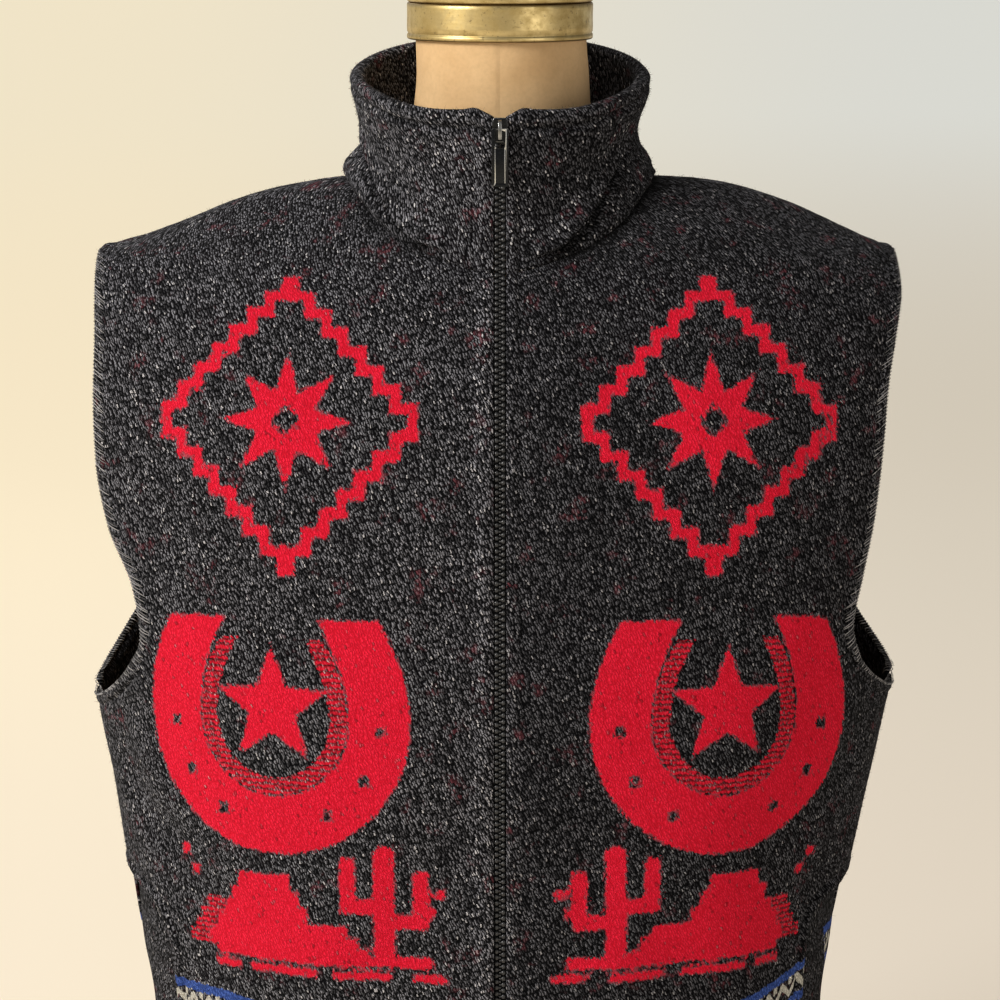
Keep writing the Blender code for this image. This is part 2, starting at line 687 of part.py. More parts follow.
def build_zip(parent):
    line = front_line()
    top = zip_top_z()
    bottom = HEM_Z + ZIP_HEM_RISE
    box_top = bottom + ZIP_BOX_HEIGHT
    whole = cut_line(line, bottom, top)
    for side in (LEFT, RIGHT):
        name = f"zip_tape_{SIDES[side]}"
        strip(name, whole, tape_edges(side), TAPE_FRONT, TAPE_BACK, "zip_tape", parent)
    chain = cut_line(line, box_top + SEAM, top - 0.001)
    strip("zip_teeth", chain, chain_edges, CHAIN_FRONT, CHAIN_BACK, "zip_metal", parent)
    box = cut_line(line, bottom, box_top)
    half = ZIP_HALF_GAP - SEAM
    strip("zip_box", box, lambda z: (-half, half), ZIP_BOX_FRONT, ZIP_BOX_BACK, "zip_metal", parent)


def cloth_front_y(z):
    ys, zs = np.array(front_line()).T
    return float(np.interp(z, zs, ys))


def slider_face_y():
    """The slider's front face: the plate lies just outside the cloth's edges."""
    nearest = min(cloth_front_y(z) for z in np.linspace(SLIDER_BOTTOM_Z, SLIDER_TOP_Z, 9))
    return nearest - SEAM - SLIDER_WALL


def prism(outline, low, high, place):
    """Points and faces of an outline pushed along an axis; place turns (u, v, w) into a point."""
    count = len(outline)
    points = [place(u, v, low) for u, v in outline] + [place(u, v, high) for u, v in outline]
    faces = [tuple(range(count)), tuple(range(2 * count - 1, count - 1, -1))]
    for here in range(count):
        there = (here + 1) % count
        faces.append((here, there, there + count, here + count))
    return points, faces


def upright(u, v, w):
    """Places an outline in a front view, with its thickness along Y."""
    return u, w, v


def rounded(outline, radius, steps=3):
    """An outline with each corner cut by a short arc."""
    made = []
    count = len(outline)
    for index, corner in enumerate(outline):
        corner = np.array(corner)
        before = np.array(outline[index - 1]) - corner
        after = np.array(outline[(index + 1) % count]) - corner
        start = corner + radius * before / np.linalg.norm(before)
        end = corner + radius * after / np.linalg.norm(after)
        for step in range(steps + 1):
            share = step / steps
            point = (1 - share) ** 2 * start + 2 * share * (1 - share) * corner + share**2 * end
            made.append((float(point[0]), float(point[1])))
    return made


def boolean(target, cutter, operation):
    cutter.hide_render = True
    cutter.display_type = "WIRE"
    made = target.modifiers.new(operation.lower(), "BOOLEAN")
    made.operation = operation
    made.object = cutter


def build_slider(parent):
    face = slider_face_y()
    back = face + SLIDER_WALL
    middle = (SLIDER_BOTTOM_Z + SLIDER_TOP_Z) / 2
    top, bottom = SLIDER_TOP_WIDTH / 2, SLIDER_BOTTOM_WIDTH / 2
    plate = [
        (-bottom, SLIDER_BOTTOM_Z),
        (bottom, SLIDER_BOTTOM_Z),
        (top, middle),
        (top, SLIDER_TOP_Z),
        (-top, SLIDER_TOP_Z),
        (-top, middle),
    ]
    points, faces = prism(rounded(plate, 0.0012), face, back, upright)
    slider = add_object("zip_slider", points, faces, "zip_metal", parent)
    low, high = SLIDER_BOTTOM_Z + BRIDGE_INSET, SLIDER_TOP_Z - BRIDGE_INSET
    sunk = face + SLIDER_WALL / 2
    crown = face - BRIDGE_ROOM - BRIDGE_BAR
    under = face - BRIDGE_ROOM
    slope = BRIDGE_SLOPE
    arch = [
        (sunk, low),
        (crown, low + slope),
        (crown, high - slope),
        (sunk, high),
        (sunk, high - BRIDGE_BAR * 1.5),
        (under, high - slope - BRIDGE_BAR * 0.8),
        (under, low + slope + BRIDGE_BAR * 0.8),
        (sunk, low + BRIDGE_BAR * 1.5),
    ]
    half = BRIDGE_WIDTH / 2
    points, faces = prism(arch, -half, half, lambda u, v, w: (w, u, v))
    bridge = add_object("slider_bridge_guide", points, faces, "zip_metal", parent)
    boolean(slider, bridge, "UNION")
    return slider


def build_pull(parent):
    """The pull tab. Its top bar passes under the slider's bridge and is the hinge."""
    hinge = np.array([0.0, slider_face_y() - BRIDGE_ROOM / 2, HINGE_Z])
    half, length = PULL_WIDTH / 2, PULL_LENGTH
    bar = PULL_WALL / 2
    outline = rounded([(-half, -length), (half, -length), (half, bar), (-half, bar)], 0.0009)
    points, faces = prism(outline, -bar, bar, upright)
    pull = add_object("zip_pull", points, faces, "zip_metal", parent)
    window_half = PULL_WINDOW_WIDTH / 2
    window = [
        (-window_half, -bar - PULL_WINDOW_LENGTH),
        (window_half, -bar - PULL_WINDOW_LENGTH),
        (window_half, -bar),
        (-window_half, -bar),
    ]
    points, faces = prism(rounded(window, 0.0008), -4 * bar, 4 * bar, upright)
    cutter = add_object("pull_window_guide", points, faces, "zip_metal", parent)
    boolean(pull, cutter, "DIFFERENCE")
    for thing in (pull, cutter):
        thing.location = hinge
    return pull


def build_form(parent):
    """Torso and neck as one smooth body of level rings."""
    rings = []
    heights = [row.z for row in FORM]
    gaps = [(low, high) for low, high in zip(heights, heights[1:]) if high - low > FORM_TALLEST_RING]
    heights += [(low + high) / 2 for low, high in gaps]
    for z in sorted(heights):
        power = 2 / float(column_curve(FORM, "z", "squareness", z))
        columns = ("left", "right", "front", "back")
        sizes = [float(column_curve(FORM, "z", column, z)) for column in columns]
        ring = []
        for step in range(FORM_SEGMENTS):
            angle = 2 * math.pi * step / FORM_SEGMENTS
            across, along = math.sin(angle), -math.cos(angle)
            x = (sizes[1] if across > 0 else sizes[0]) * float(signed_power(across, power))
            y = (sizes[3] if along > 0 else sizes[2]) * float(signed_power(along, power))
            ring.append((x, y, z))
        rings.append(ring)
    points = [point for ring in rings for point in ring]
    faces = []
    for row in range(len(rings) - 1):
        for step in range(FORM_SEGMENTS):
            a, b = row * FORM_SEGMENTS + step, row * FORM_SEGMENTS + (step + 1) % FORM_SEGMENTS
            faces.append((a, b, b + FORM_SEGMENTS, a + FORM_SEGMENTS))
    top = (len(rings) - 1) * FORM_SEGMENTS
    faces.append(tuple(range(FORM_SEGMENTS - 1, -1, -1)))
    faces.append(tuple(range(top, top + FORM_SEGMENTS)))
    return add_object("form_body", points, faces, "form_cloth", parent)


def turned(name, outline, bottom_z, bore, finish, parent):
    """A piece turned about the neck's axis, solid where the bore is 0."""
    profile = [(radius, bottom_z + rise) for radius, rise in outline]
    if bore:
        profile = [(bore, profile[0][1])] + profile + [(bore, profile[-1][1])]
    points, faces = [], []
    for radius, z in profile:
        for step in range(TURNED_SEGMENTS):
            angle = 2 * math.pi * step / TURNED_SEGMENTS
            points.append((radius * math.cos(angle), radius * math.sin(angle), z))
    rings = len(profile)
    for ring in range(rings if bore else rings - 1):
        above = (ring + 1) % rings
        for step in range(TURNED_SEGMENTS):
            there = (step + 1) % TURNED_SEGMENTS
            a, b = ring * TURNED_SEGMENTS + step, ring * TURNED_SEGMENTS + there
            c, d = above * TURNED_SEGMENTS + there, above * TURNED_SEGMENTS + step
            faces.append((a, b, c, d))
    if not bore:
        top = (rings - 1) * TURNED_SEGMENTS
        faces.append(tuple(range(TURNED_SEGMENTS - 1, -1, -1)))
        faces.append(tuple(range(top, top + TURNED_SEGMENTS)))
    return add_object(name, points, faces, finish, parent)


def build_base(parent):
    """The oval base board, with an eased top edge."""
    ease, foot = BASE_TOP_EASE, BASE_FOOT_EASE
    levels = [(0.0, foot), (foot, 0.0), (BASE_HEIGHT - ease, 0.0)]
    levels += [(BASE_HEIGHT - ease * 0.3, ease * 0.3), (BASE_HEIGHT, ease)]
    points, faces = [], []
    for z, inset in levels:
        for step in range(FORM_SEGMENTS):
            angle = 2 * math.pi * step / FORM_SEGMENTS
            x = (BASE_HALF_WIDTH - inset) * math.cos(angle)
            points.append((x, (BASE_HALF_DEPTH - inset) * math.sin(angle), z))
    for row in range(len(levels) - 1):
        for step in range(FORM_SEGMENTS):
            a, b = row * FORM_SEGMENTS + step, row * FORM_SEGMENTS + (step + 1) % FORM_SEGMENTS
            faces.append((a, b, b + FORM_SEGMENTS, a + FORM_SEGMENTS))
    top = (len(levels) - 1) * FORM_SEGMENTS
    faces.append(tuple(range(FORM_SEGMENTS - 1, -1, -1)))
    faces.append(tuple(range(top, top + FORM_SEGMENTS)))
    return add_object("form_base", points, faces, "base_wood", parent)


def main():
    clear_scene()
    vest = bpy.data.objects.new("vest", None)
    form = bpy.data.objects.new("dress_form", None)
    for group in (vest, form):
        bpy.context.scene.collection.objects.link(group)
    build_base(form)
    build_form(form)
    turned("form_neck_band", BAND_OUTLINE, BAND_BOTTOM_Z, BAND_BORE, "brass", form)
    turned("form_neck_cap", CAP_OUTLINE, CAP_BOTTOM_Z, 0.0, "brass", form)
    for side in (LEFT, RIGHT):
        build_front(side, vest)
        build_pocket_facing(side, vest)
    build_back(vest)
    build_collar(vest)
    build_zip(vest)
    build_slider(vest)
    build_pull(vest)


main()
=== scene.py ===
"""Looks of a charcoal blanket-wool western vest on its limbless dress form.

Metres, +Z up, +X to the right in a front view and +Y away from the viewer. The cloth pieces are
thin shells on the same surfaces as the solids that they stand for, at a finer pitch. Their UV
map is in metres along the cloth: from the centre line outward, and up from the floor.
"""

import math
from collections import namedtuple

import bpy
import numpy as np
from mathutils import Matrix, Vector, kdtree


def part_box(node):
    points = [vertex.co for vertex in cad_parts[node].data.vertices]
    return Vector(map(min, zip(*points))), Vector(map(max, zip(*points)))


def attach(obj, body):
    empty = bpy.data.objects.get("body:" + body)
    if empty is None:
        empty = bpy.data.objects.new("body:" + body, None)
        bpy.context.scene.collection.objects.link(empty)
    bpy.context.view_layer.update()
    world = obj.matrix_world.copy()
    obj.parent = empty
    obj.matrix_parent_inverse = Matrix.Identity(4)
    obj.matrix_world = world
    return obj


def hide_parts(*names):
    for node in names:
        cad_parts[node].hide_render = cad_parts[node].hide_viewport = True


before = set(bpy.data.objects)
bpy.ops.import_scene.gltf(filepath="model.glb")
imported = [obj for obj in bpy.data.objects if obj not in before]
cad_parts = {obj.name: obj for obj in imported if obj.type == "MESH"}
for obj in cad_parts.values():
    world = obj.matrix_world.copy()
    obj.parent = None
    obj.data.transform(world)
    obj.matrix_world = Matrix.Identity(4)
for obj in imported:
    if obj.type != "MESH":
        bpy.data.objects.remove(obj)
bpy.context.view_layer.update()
ROOT_BODY, PULL_BODY = "vest_on_form", "pull"
LEFT, RIGHT = -1, 1
FRONT, BACK = -1, 1
SIDES = {LEFT: "left", RIGHT: "right"}

# The photograph's camera
CAMERA_PLACE = (0.0, -2.23, 0.926)
CAMERA_PITCH_DOWN = 10.0
CAMERA_LENS, CAMERA_SENSOR = 129.6, 36.0

# Sizes of the vest, as in the solids
WALL = 0.0025
SEAM = 0.0003
NECK_SEAM = 0.0001
HEM_Z = 0.095
ZIP_HALF_GAP = 0.0037
NECK_FRONT_Z = 0.6860
NECK_BACK_Z = 0.7300
SHOULDER_NECK_Z = 0.7375
SHOULDER_TIP_Z = 0.692
SQUARENESS = 2.2

Section = namedtuple("Section", "z left right front back")
SECTIONS = [
    Section(0.095, 0.223, 0.210, 0.136, 0.121),
    Section(0.150, 0.221, 0.207, 0.138, 0.117),
    Section(0.206, 0.2215, 0.206, 0.140, 0.113),
    Section(0.272, 0.2325, 0.2155, 0.144, 0.107),
    Section(0.338, 0.2415, 0.2300, 0.148, 0.105),
    Section(0.413, 0.2550, 0.2455, 0.153, 0.108),
    Section(0.440, 0.2640, 0.2525, 0.153, 0.111),
    Section(0.480, 0.2710, 0.2600, 0.1505, 0.114),
    Section(0.550, 0.2820, 0.2700, 0.1425, 0.118),
    Section(0.600, 0.2880, 0.2760, 0.1330, 0.1185),
    Section(0.650, 0.2860, 0.2750, 0.1140, 0.1140),
    Section(0.676, 0.2700, 0.2630, 0.0985, 0.1070),
    Section(0.692, 0.2480, 0.2440, 0.0855, 0.1010),
    Section(0.6980, 0.2260, 0.2285, 0.0790, 0.0990),
    Section(0.7093, 0.1950, 0.2040, 0.0650, 0.0940),
    Section(0.7216, 0.1640, 0.1760, 0.048, 0.086),
    Section(0.7290, 0.1380, 0.1500, 0.037, 0.074),
    Section(0.7340, 0.1130, 0.1258, 0.024, 0.050),
    Section(0.7365, 0.0990, 0.1040, 0.014, 0.026),
    Section(0.7375, 0.0945, 0.0945, 0.010, 0.015),
]

ArmholeRow = namedtuple("ArmholeRow", "rise front_left front_right back_left back_right")
UNDERARM_Z = {LEFT: 0.4135, RIGHT: 0.4215}
ARMHOLE = [
    ArmholeRow(0.0000, None, None, None, None),
    ArmholeRow(0.0080, 0.2520, 0.2430, 0.2570, 0.2500),
    ArmholeRow(0.0330, 0.2450, 0.2360, 0.2540, 0.2470),
    ArmholeRow(0.0680, 0.2360, 0.2270, 0.2480, 0.2405),
    ArmholeRow(0.1120, 0.2270, 0.2195, 0.2405, 0.2320),
    ArmholeRow(0.1850, 0.2180, 0.2145, 0.2285, 0.2225),
    ArmholeRow(0.2950, 0.2225, 0.2200, 0.2215, 0.2170),
    ArmholeRow(0.4250, 0.2378, 0.2270, 0.2200, 0.2160),
    ArmholeRow(0.5650, 0.2450, 0.2315, 0.2225, 0.2190),
    ArmholeRow(0.7100, 0.2463, 0.2350, 0.2280, 0.2245),
    ArmholeRow(0.8400, 0.2458, 0.2412, 0.2365, 0.2330),
    ArmholeRow(0.9300, 0.2472, 0.2452, 0.2435, 0.2400),
    ArmholeRow(1.0000, None, None, None, None),
]

NECK_HALF_WIDTH = 0.0945
NeckPoint = namedtuple("NeckPoint", "across front_rise back_rise")
NECKLINE = [
    NeckPoint(0.00, 0.000, 0.00),
    NeckPoint(0.20, 0.072, 0.05),
    NeckPoint(0.40, 0.190, 0.18),
    NeckPoint(0.59, 0.320, 0.36),
    NeckPoint(0.72, 0.470, 0.52),
    NeckPoint(0.82, 0.620, 0.66),
    NeckPoint(0.93, 0.850, 0.82),
    NeckPoint(0.985, 0.955, 0.93),
    NeckPoint(1.00, 1.000, 1.00),
]

PocketPoint = namedtuple("PocketPoint", "z left right")
POCKET_TOP_Z = 0.305
POCKET_EDGE = [
    PocketPoint(0.0950, 0.1985, 0.1880),
    PocketPoint(0.1500, 0.2000, 0.1885),
    PocketPoint(0.2050, 0.2005, 0.1890),
    PocketPoint(0.2400, 0.2015, 0.1893),
    PocketPoint(0.2620, 0.2035, 0.1905),
    PocketPoint(0.2780, 0.2080, 0.1938),
    PocketPoint(0.2900, 0.2145, 0.2000),
    PocketPoint(0.2955, 0.2222, 0.2072),
    PocketPoint(0.2995, 0.2298, 0.2146),
    PocketPoint(0.3028, 0.2350, 0.2198),
]
FACING_WALL = 0.0020
FACING_DEPTH = WALL + 0.0016
FACING_UNDERLAP = 0.024
FACING_TOP_Z = 0.326
FACING_BLEND_Z = 0.292

SHOULDER_LEVELS = (0.0, 0.11, 0.36, 0.60, 0.79, 0.93, 1.0)
CENTRE_POCKET_Z = 0.292
CENTRE_UNDERARM_Z = 0.388
CENTRE_TIP_Z = {FRONT: 0.652, BACK: 0.664}

COLLAR_TOP_HALF_WIDTH = 0.0925
COLLAR_TOP_HALF_DEPTH = 0.0855
COLLAR_TOP_FRONT_Z = 0.7830
COLLAR_TOP_BACK_Z = 0.8198
COLLAR_NOTCH_DEPTH = 0.0045
COLLAR_NOTCH_WIDTH = 0.016
HUMP_AT = {LEFT: 0.0125, RIGHT: 0.0105}
CollarRow = namedtuple("CollarRow", "height front side back wall")
COLLAR = [
    CollarRow(0.00, 0.0000, 0.0000, 0.0000, 0.0050),
    CollarRow(0.05, -0.0014, 0.0028, 0.0004, 0.0051),
    CollarRow(0.12, -0.0029, 0.0020, -0.0003, 0.0052),
    CollarRow(0.21, -0.0041, -0.0028, -0.0031, 0.0054),
    CollarRow(0.31, -0.0045, -0.0078, -0.0045, 0.0056),
    CollarRow(0.55, -0.0034, -0.0054, -0.0040, 0.0064),
    CollarRow(0.78, -0.0015, -0.0018, -0.0018, 0.0080),
    CollarRow(0.92, 0.0000, 0.0000, 0.0000, 0.0096),
]

FormRow = namedtuple("FormRow", "z left right front back squareness")
FORM = [
    FormRow(0.0183, 0.146, 0.146, 0.098, 0.096, 2.2),
    FormRow(0.050, 0.157, 0.157, 0.103, 0.099, 2.2),
    FormRow(0.110, 0.165, 0.165, 0.106, 0.100, 2.2),
    FormRow(0.200, 0.153, 0.153, 0.102, 0.090, 2.2),
    FormRow(0.300, 0.131, 0.131, 0.095, 0.080, 2.2),
    FormRow(0.400, 0.142, 0.142, 0.108, 0.086, 2.2),
    FormRow(0.500, 0.158, 0.158, 0.121, 0.096, 2.2),
    FormRow(0.580, 0.172, 0.172, 0.118, 0.103, 2.2),
    FormRow(0.640, 0.187, 0.187, 0.101, 0.102, 2.1),
    FormRow(0.670, 0.194, 0.195, 0.088, 0.096, 2.0),
    FormRow(0.688, 0.193, 0.196, 0.079, 0.088, 1.9),
    FormRow(0.7000, 0.187, 0.193, 0.0715, 0.080, 1.7),
    FormRow(0.7090, 0.176, 0.186, 0.0670, 0.072, 1.5),
    FormRow(0.7180, 0.1640, 0.1760, 0.0625, 0.066, 1.15),
    FormRow(0.7254, 0.1380, 0.1500, 0.0600, 0.062, 0.97),
    FormRow(0.7303, 0.1130, 0.1258, 0.0585, 0.060, 0.90),
    FormRow(0.7330, 0.0980, 0.1030, 0.0580, 0.0590, 1.05),
    FormRow(0.7350, 0.0855, 0.0865, 0.0575, 0.0583, 1.4),
    FormRow(0.7400, 0.0755, 0.0760, 0.0566, 0.0574, 1.9),
    FormRow(0.7480, 0.0660, 0.0660, 0.0555, 0.0560, 2.0),
    FormRow(0.7600, 0.0585, 0.0585, 0.0545, 0.0548, 2.0),
    FormRow(0.7780, 0.0534, 0.0560, 0.0538, 0.0538, 2.0),
    FormRow(0.8000, 0.0514, 0.0548, 0.0532, 0.0532, 2.0),
    FormRow(0.8190, 0.0518, 0.0533, 0.0530, 0.0530, 2.0),
    FormRow(0.8430, 0.0530, 0.0530, 0.0530, 0.0530, 2.0),
]

# Fine pitch of the shells
FRONT_PITCH = 0.0028
BACK_PITCH = 0.0040
LIP_STEPS = (0.00015, 0.0005, 0.0010, 0.0016)
LIP_THINNEST = 0.3


def curve(x, y, at):
    """Monotone cubic through the points (x, y), read at the given places."""
    x, y = np.asarray(x, float), np.asarray(y, float)
    step = np.diff(x)
    slope = np.diff(y) / step
    tangent = np.zeros_like(y)
    tangent[0], tangent[-1] = slope[0], slope[-1]
    same_way = slope[:-1] * slope[1:] > 0
    before, after = slope[:-1][same_way], slope[1:][same_way]
    tangent[1:-1][same_way] = 2 * before * after / (before + after)
    at = np.clip(np.asarray(at, dtype=float), x[0], x[-1])
    cell = np.clip(np.searchsorted(x, at, side="right") - 1, 0, len(step) - 1)
    width = step[cell]
    u = (at - x[cell]) / width
    start = (1 + 2 * u) * (1 - u) ** 2 * y[cell] + u * (1 - u) ** 2 * width * tangent[cell]
    end = u**2 * (3 - 2 * u) * y[cell + 1] + u**2 * (u - 1) * width * tangent[cell + 1]
    return start + end


def column(rows, name):
    return [getattr(row, name) for row in rows]


def column_curve(rows, key, name, at):
    return curve(column(rows, key), column(rows, name), at)


def running_length(line):
    return np.concatenate([[0], np.cumsum(np.linalg.norm(np.diff(line, axis=0), axis=1))])


def signed_power(value, power):
    return np.sign(value) * np.abs(value) ** power


def smooth_step(value):
    value = np.clip(value, 0.0, 1.0)
    return value * value * (3 - 2 * value)


def bump(distance, middle, half_width):
    """1 at the middle and 0 from half_width on either side of it."""
    return smooth_step(1 - np.abs(distance - middle) / half_width)


def half_width(side, z):
    return column_curve(SECTIONS, "z", SIDES[side], z)


def depth(face, z):
    return column_curve(SECTIONS, "z", "front" if face == FRONT else "back", z)


def body_point(side, face, turn, z, gap=SEAM / 2):
    """A point of the vest's outer surface. Turn runs from 0 at the centre to pi/2 at the side."""
    turn, z = np.broadcast_arrays(np.asarray(turn, float), np.asarray(z, float))
    power = 2 / SQUARENESS
    x = side * half_width(side, z) * signed_power(np.sin(turn), power)
    y = face * (depth(face, z) * signed_power(np.cos(turn), power) + gap)
    return np.stack([x, y, z], axis=-1)


def turn_at(side, x, z):
    share = np.clip(np.abs(x) / half_width(side, z), 0.0, 1.0)
    return np.arcsin(share ** (SQUARENESS / 2))


def pocket_x(side, z):
    """Distance from the centre to the front's edge along the pocket opening."""
    heights = column(POCKET_EDGE, "z") + [POCKET_TOP_Z]
    edge = column(POCKET_EDGE, SIDES[side]) + [float(half_width(side, POCKET_TOP_Z))]
    return curve(heights, edge, z)


def neckline(side, face, shares):
    """(turn, z) along the neck seam, from the centre to the shoulder."""
    low = NECK_FRONT_Z if face == FRONT else NECK_BACK_Z
    rise = "front_rise" if face == FRONT else "back_rise"
    dense = np.linspace(0.0, 1.0, 400)
    z = low + column_curve(NECKLINE, "across", rise, dense) * (SHOULDER_NECK_Z - low)
    turn = turn_at(side, dense * NECK_HALF_WIDTH, z)
    turn[-1] = math.pi / 2
    points = body_point(side, face, turn, z)
    run = running_length(points)
    at = np.interp(shares, run / run[-1], dense)
    z = np.interp(at, dense, z)
    return np.interp(at, dense, turn), z


def steps_between(low, high, pitch, lip_low=False, lip_high=False):
    """Heights from low to high at about the pitch, closer together at a rounded lip."""
    made = list(np.linspace(low, high, max(2, round((high - low) / pitch) + 1)))
    if lip_low:
        made += [low + step for step in LIP_STEPS]
    if lip_high:
        made += [high - step for step in LIP_STEPS]
    return np.array(sorted(made))


def lower_rows(side, face, pitch):
    """(centre z, edge turn, edge z) of the rows from the hem to the underarm."""
    pocket = steps_between(HEM_Z, POCKET_TOP_Z, pitch, lip_low=True)
    level = (pocket - HEM_Z) / (POCKET_TOP_Z - HEM_Z)
    centre = HEM_Z + level * (CENTRE_POCKET_Z - HEM_Z)
    turn = np.full_like(pocket, math.pi / 2)
    if face == FRONT:
        turn = turn_at(side, pocket_x(side, pocket), pocket)
    middle = steps_between(POCKET_TOP_Z, UNDERARM_Z[side], pitch)[1:]
    share = (middle - POCKET_TOP_Z) / (UNDERARM_Z[side] - POCKET_TOP_Z)
    centre = np.append(centre, CENTRE_POCKET_Z + share * (CENTRE_UNDERARM_Z - CENTRE_POCKET_Z))
    turn = np.append(turn, np.full_like(middle, math.pi / 2))
    return centre, turn, np.append(pocket, middle)


def upper_rows(side, face, pitch):
    """(centre z, edge turn, edge z) of the rows from the underarm to the neck."""
    low, high = UNDERARM_Z[side], SHOULDER_TIP_Z
    centre = steps_between(CENTRE_UNDERARM_Z, CENTRE_TIP_Z[face], pitch)[1:]
    place = (centre - CENTRE_UNDERARM_Z) / (CENTRE_TIP_Z[face] - CENTRE_UNDERARM_Z)
    place = place * (len(ARMHOLE) - 1)
    rise = curve(range(len(ARMHOLE)), column(ARMHOLE, "rise"), place)
    edge_z = low + rise * (high - low)
    name = f"{'front' if face == FRONT else 'back'}_{SIDES[side]}"
    edge_x = column(ARMHOLE, name)
    edge_x[0], edge_x[-1] = float(half_width(side, low)), float(half_width(side, high))
    turn = turn_at(side, curve(column(ARMHOLE, "rise"), edge_x, rise), edge_z)
    turn[-1] = math.pi / 2
    top = NECK_FRONT_Z if face == FRONT else NECK_BACK_Z
    shoulder = steps_between(CENTRE_TIP_Z[face], top, pitch / 2.2, lip_high=True)[1:]
    place = (shoulder - CENTRE_TIP_Z[face]) / (top - CENTRE_TIP_Z[face])
    level = np.interp(place * (len(SHOULDER_LEVELS) - 1), range(len(SHOULDER_LEVELS)), SHOULDER_LEVELS)
    edge_z = np.append(edge_z, high + level * (SHOULDER_NECK_Z - high))
    turn = np.append(turn, np.full_like(shoulder, math.pi / 2))
    return np.append(centre, shoulder), turn, edge_z


def pulled_in(edge_turn, shares):
    """How far a row's columns move in so that the last one meets an edge short of the side."""
    inset = math.pi / 2 - edge_turn
    power = np.minimum(4.0, 1.25 / np.maximum(inset, 0.01))
    return inset * shares**power


def panel_grid(side, face, shares, first_x, pitch):
    """(turn, z) grids of one half of the front or back, from the hem to the neckline."""
    centre, edge_turn, edge_z = (row[:, None] for row in lower_rows(side, face, pitch))
    z_low = centre + smooth_step(shares) * (edge_z - centre)
    first = turn_at(side, first_x, centre)
    turn_low = first + shares * (math.pi / 2 - first) - pulled_in(edge_turn, shares)
    bottom_turn, bottom_z = turn_low[-1], z_low[-1]
    top_turn, top_z = neckline(side, face, shares)
    first_top = float(turn_at(side, first_x, top_z[0]))
    top_turn = np.maximum(top_turn, first_top + shares * 0.02)
    centre, edge_turn, edge_z = (row[:, None] for row in upper_rows(side, face, pitch))
    level = (centre - CENTRE_UNDERARM_Z) / (centre[-1] - CENTRE_UNDERARM_Z)
    first = turn_at(side, first_x, centre)

    def patch(bottom, top, along):
        corners = (1 - level) * ((1 - shares) * bottom[0] + shares * bottom[-1])
        corners = corners + level * ((1 - shares) * top[0] + shares * top[-1])
        return (1 - level) * bottom + level * top + along - corners

    along = (1 - shares) * first + shares * math.pi / 2 - pulled_in(edge_turn, shares)
    turn_high = patch(bottom_turn, top_turn, along)
    z_high = patch(bottom_z, top_z, (1 - shares) * centre + shares * edge_z)
    return np.concatenate([turn_low, turn_high]), np.concatenate([z_low, z_high])


OUTWARD_RISE = 0.02


def from_axis(points, rise=0.0):
    """Level vectors from the vertical axis to the points, with an even rise."""
    return points * np.array([1.0, 1.0, 0.0]) + np.array([0.0, 0.0, rise])


def grid_normals(points, outward):
    """Unit normals of a grid, turned to the side that outward gives for each point."""
    across = np.gradient(points, axis=1)
    along = np.gradient(points, axis=0)
    normal = np.cross(across, along)
    normal /= np.maximum(np.linalg.norm(normal, axis=-1, keepdims=True), 1e-12)
    side = np.sign(np.sum(normal * outward, axis=-1, keepdims=True))
    return normal * np.where(side == 0, 1, side)


def run_along(points, axis, parts):
    """Running length along a grid's axis, of the named coordinates alone."""
    steps = np.diff(points[..., parts], axis=axis)
    length = np.linalg.norm(steps, axis=-1)
    pad = [(0, 0), (0, 0)]
    pad[axis] = (1, 0)
    return np.pad(np.cumsum(length, axis=axis), pad)


def look_up(table, row, column):
    """Reads a table between its rows and columns."""
    row = np.clip(row, 0, table.shape[0] - 1.001)
    column = np.clip(column, 0, table.shape[1] - 1.001)
    i, j = row.astype(int), column.astype(int)
    u, v = row - i, column - j
    near = (1 - u) * table[i, j] + u * table[i + 1, j]
    far = (1 - u) * table[i, j + 1] + u * table[i + 1, j + 1]
    return (1 - v) * near + v * far


def height_on_cloth(side, face, points):
    """Length up the cloth, which is longer than the height where the cloth leans."""
    z = np.linspace(HEM_Z, SHOULDER_NECK_Z, 260)
    x = np.linspace(0.0, 0.29, 60)
    share = np.clip(x[None] / half_width(side, z)[:, None], 0.0, 0.96)
    y = depth(face, z)[:, None] * (1 - share**SQUARENESS) ** (1 / SQUARENESS)
    slope = np.clip(np.gradient(y, z, axis=0), -1.8, 1.8)
    extra = np.cumsum((np.sqrt(1 + slope**2) - 1) * (z[1] - z[0]), axis=0)
    row = (points[..., 2] - z[0]) / (z[1] - z[0])
    return points[..., 2] + look_up(extra, row, np.abs(points[..., 0]) / x[1])


def distance_to_line(points, line):
    """Distance of each grid point to a polyline, which is made dense first."""
    run = running_length(line)
    at = np.linspace(0, run[-1], max(2, int(run[-1] / 0.0004)))
    dense = np.stack([np.interp(at, run, line[:, axis]) for axis in range(3)], axis=-1)
    tree = kdtree.KDTree(len(dense))
    for index, point in enumerate(dense):
        tree.insert(point, index)
    tree.balance()
    flat = points.reshape(-1, 3)
    found = np.array([tree.find(point)[2] for point in flat])
    return found.reshape(points.shape[:-1])


# Signed distances of the woven motifs, positive inside, in cloth metres
def disc(s, t, centre, radius):
    return radius - np.hypot(s - centre[0], t - centre[1])


def block(s, t, centre, half_width, half_height):
    across = half_width - np.abs(s - centre[0])
    return np.minimum(across, half_height - np.abs(t - centre[1]))


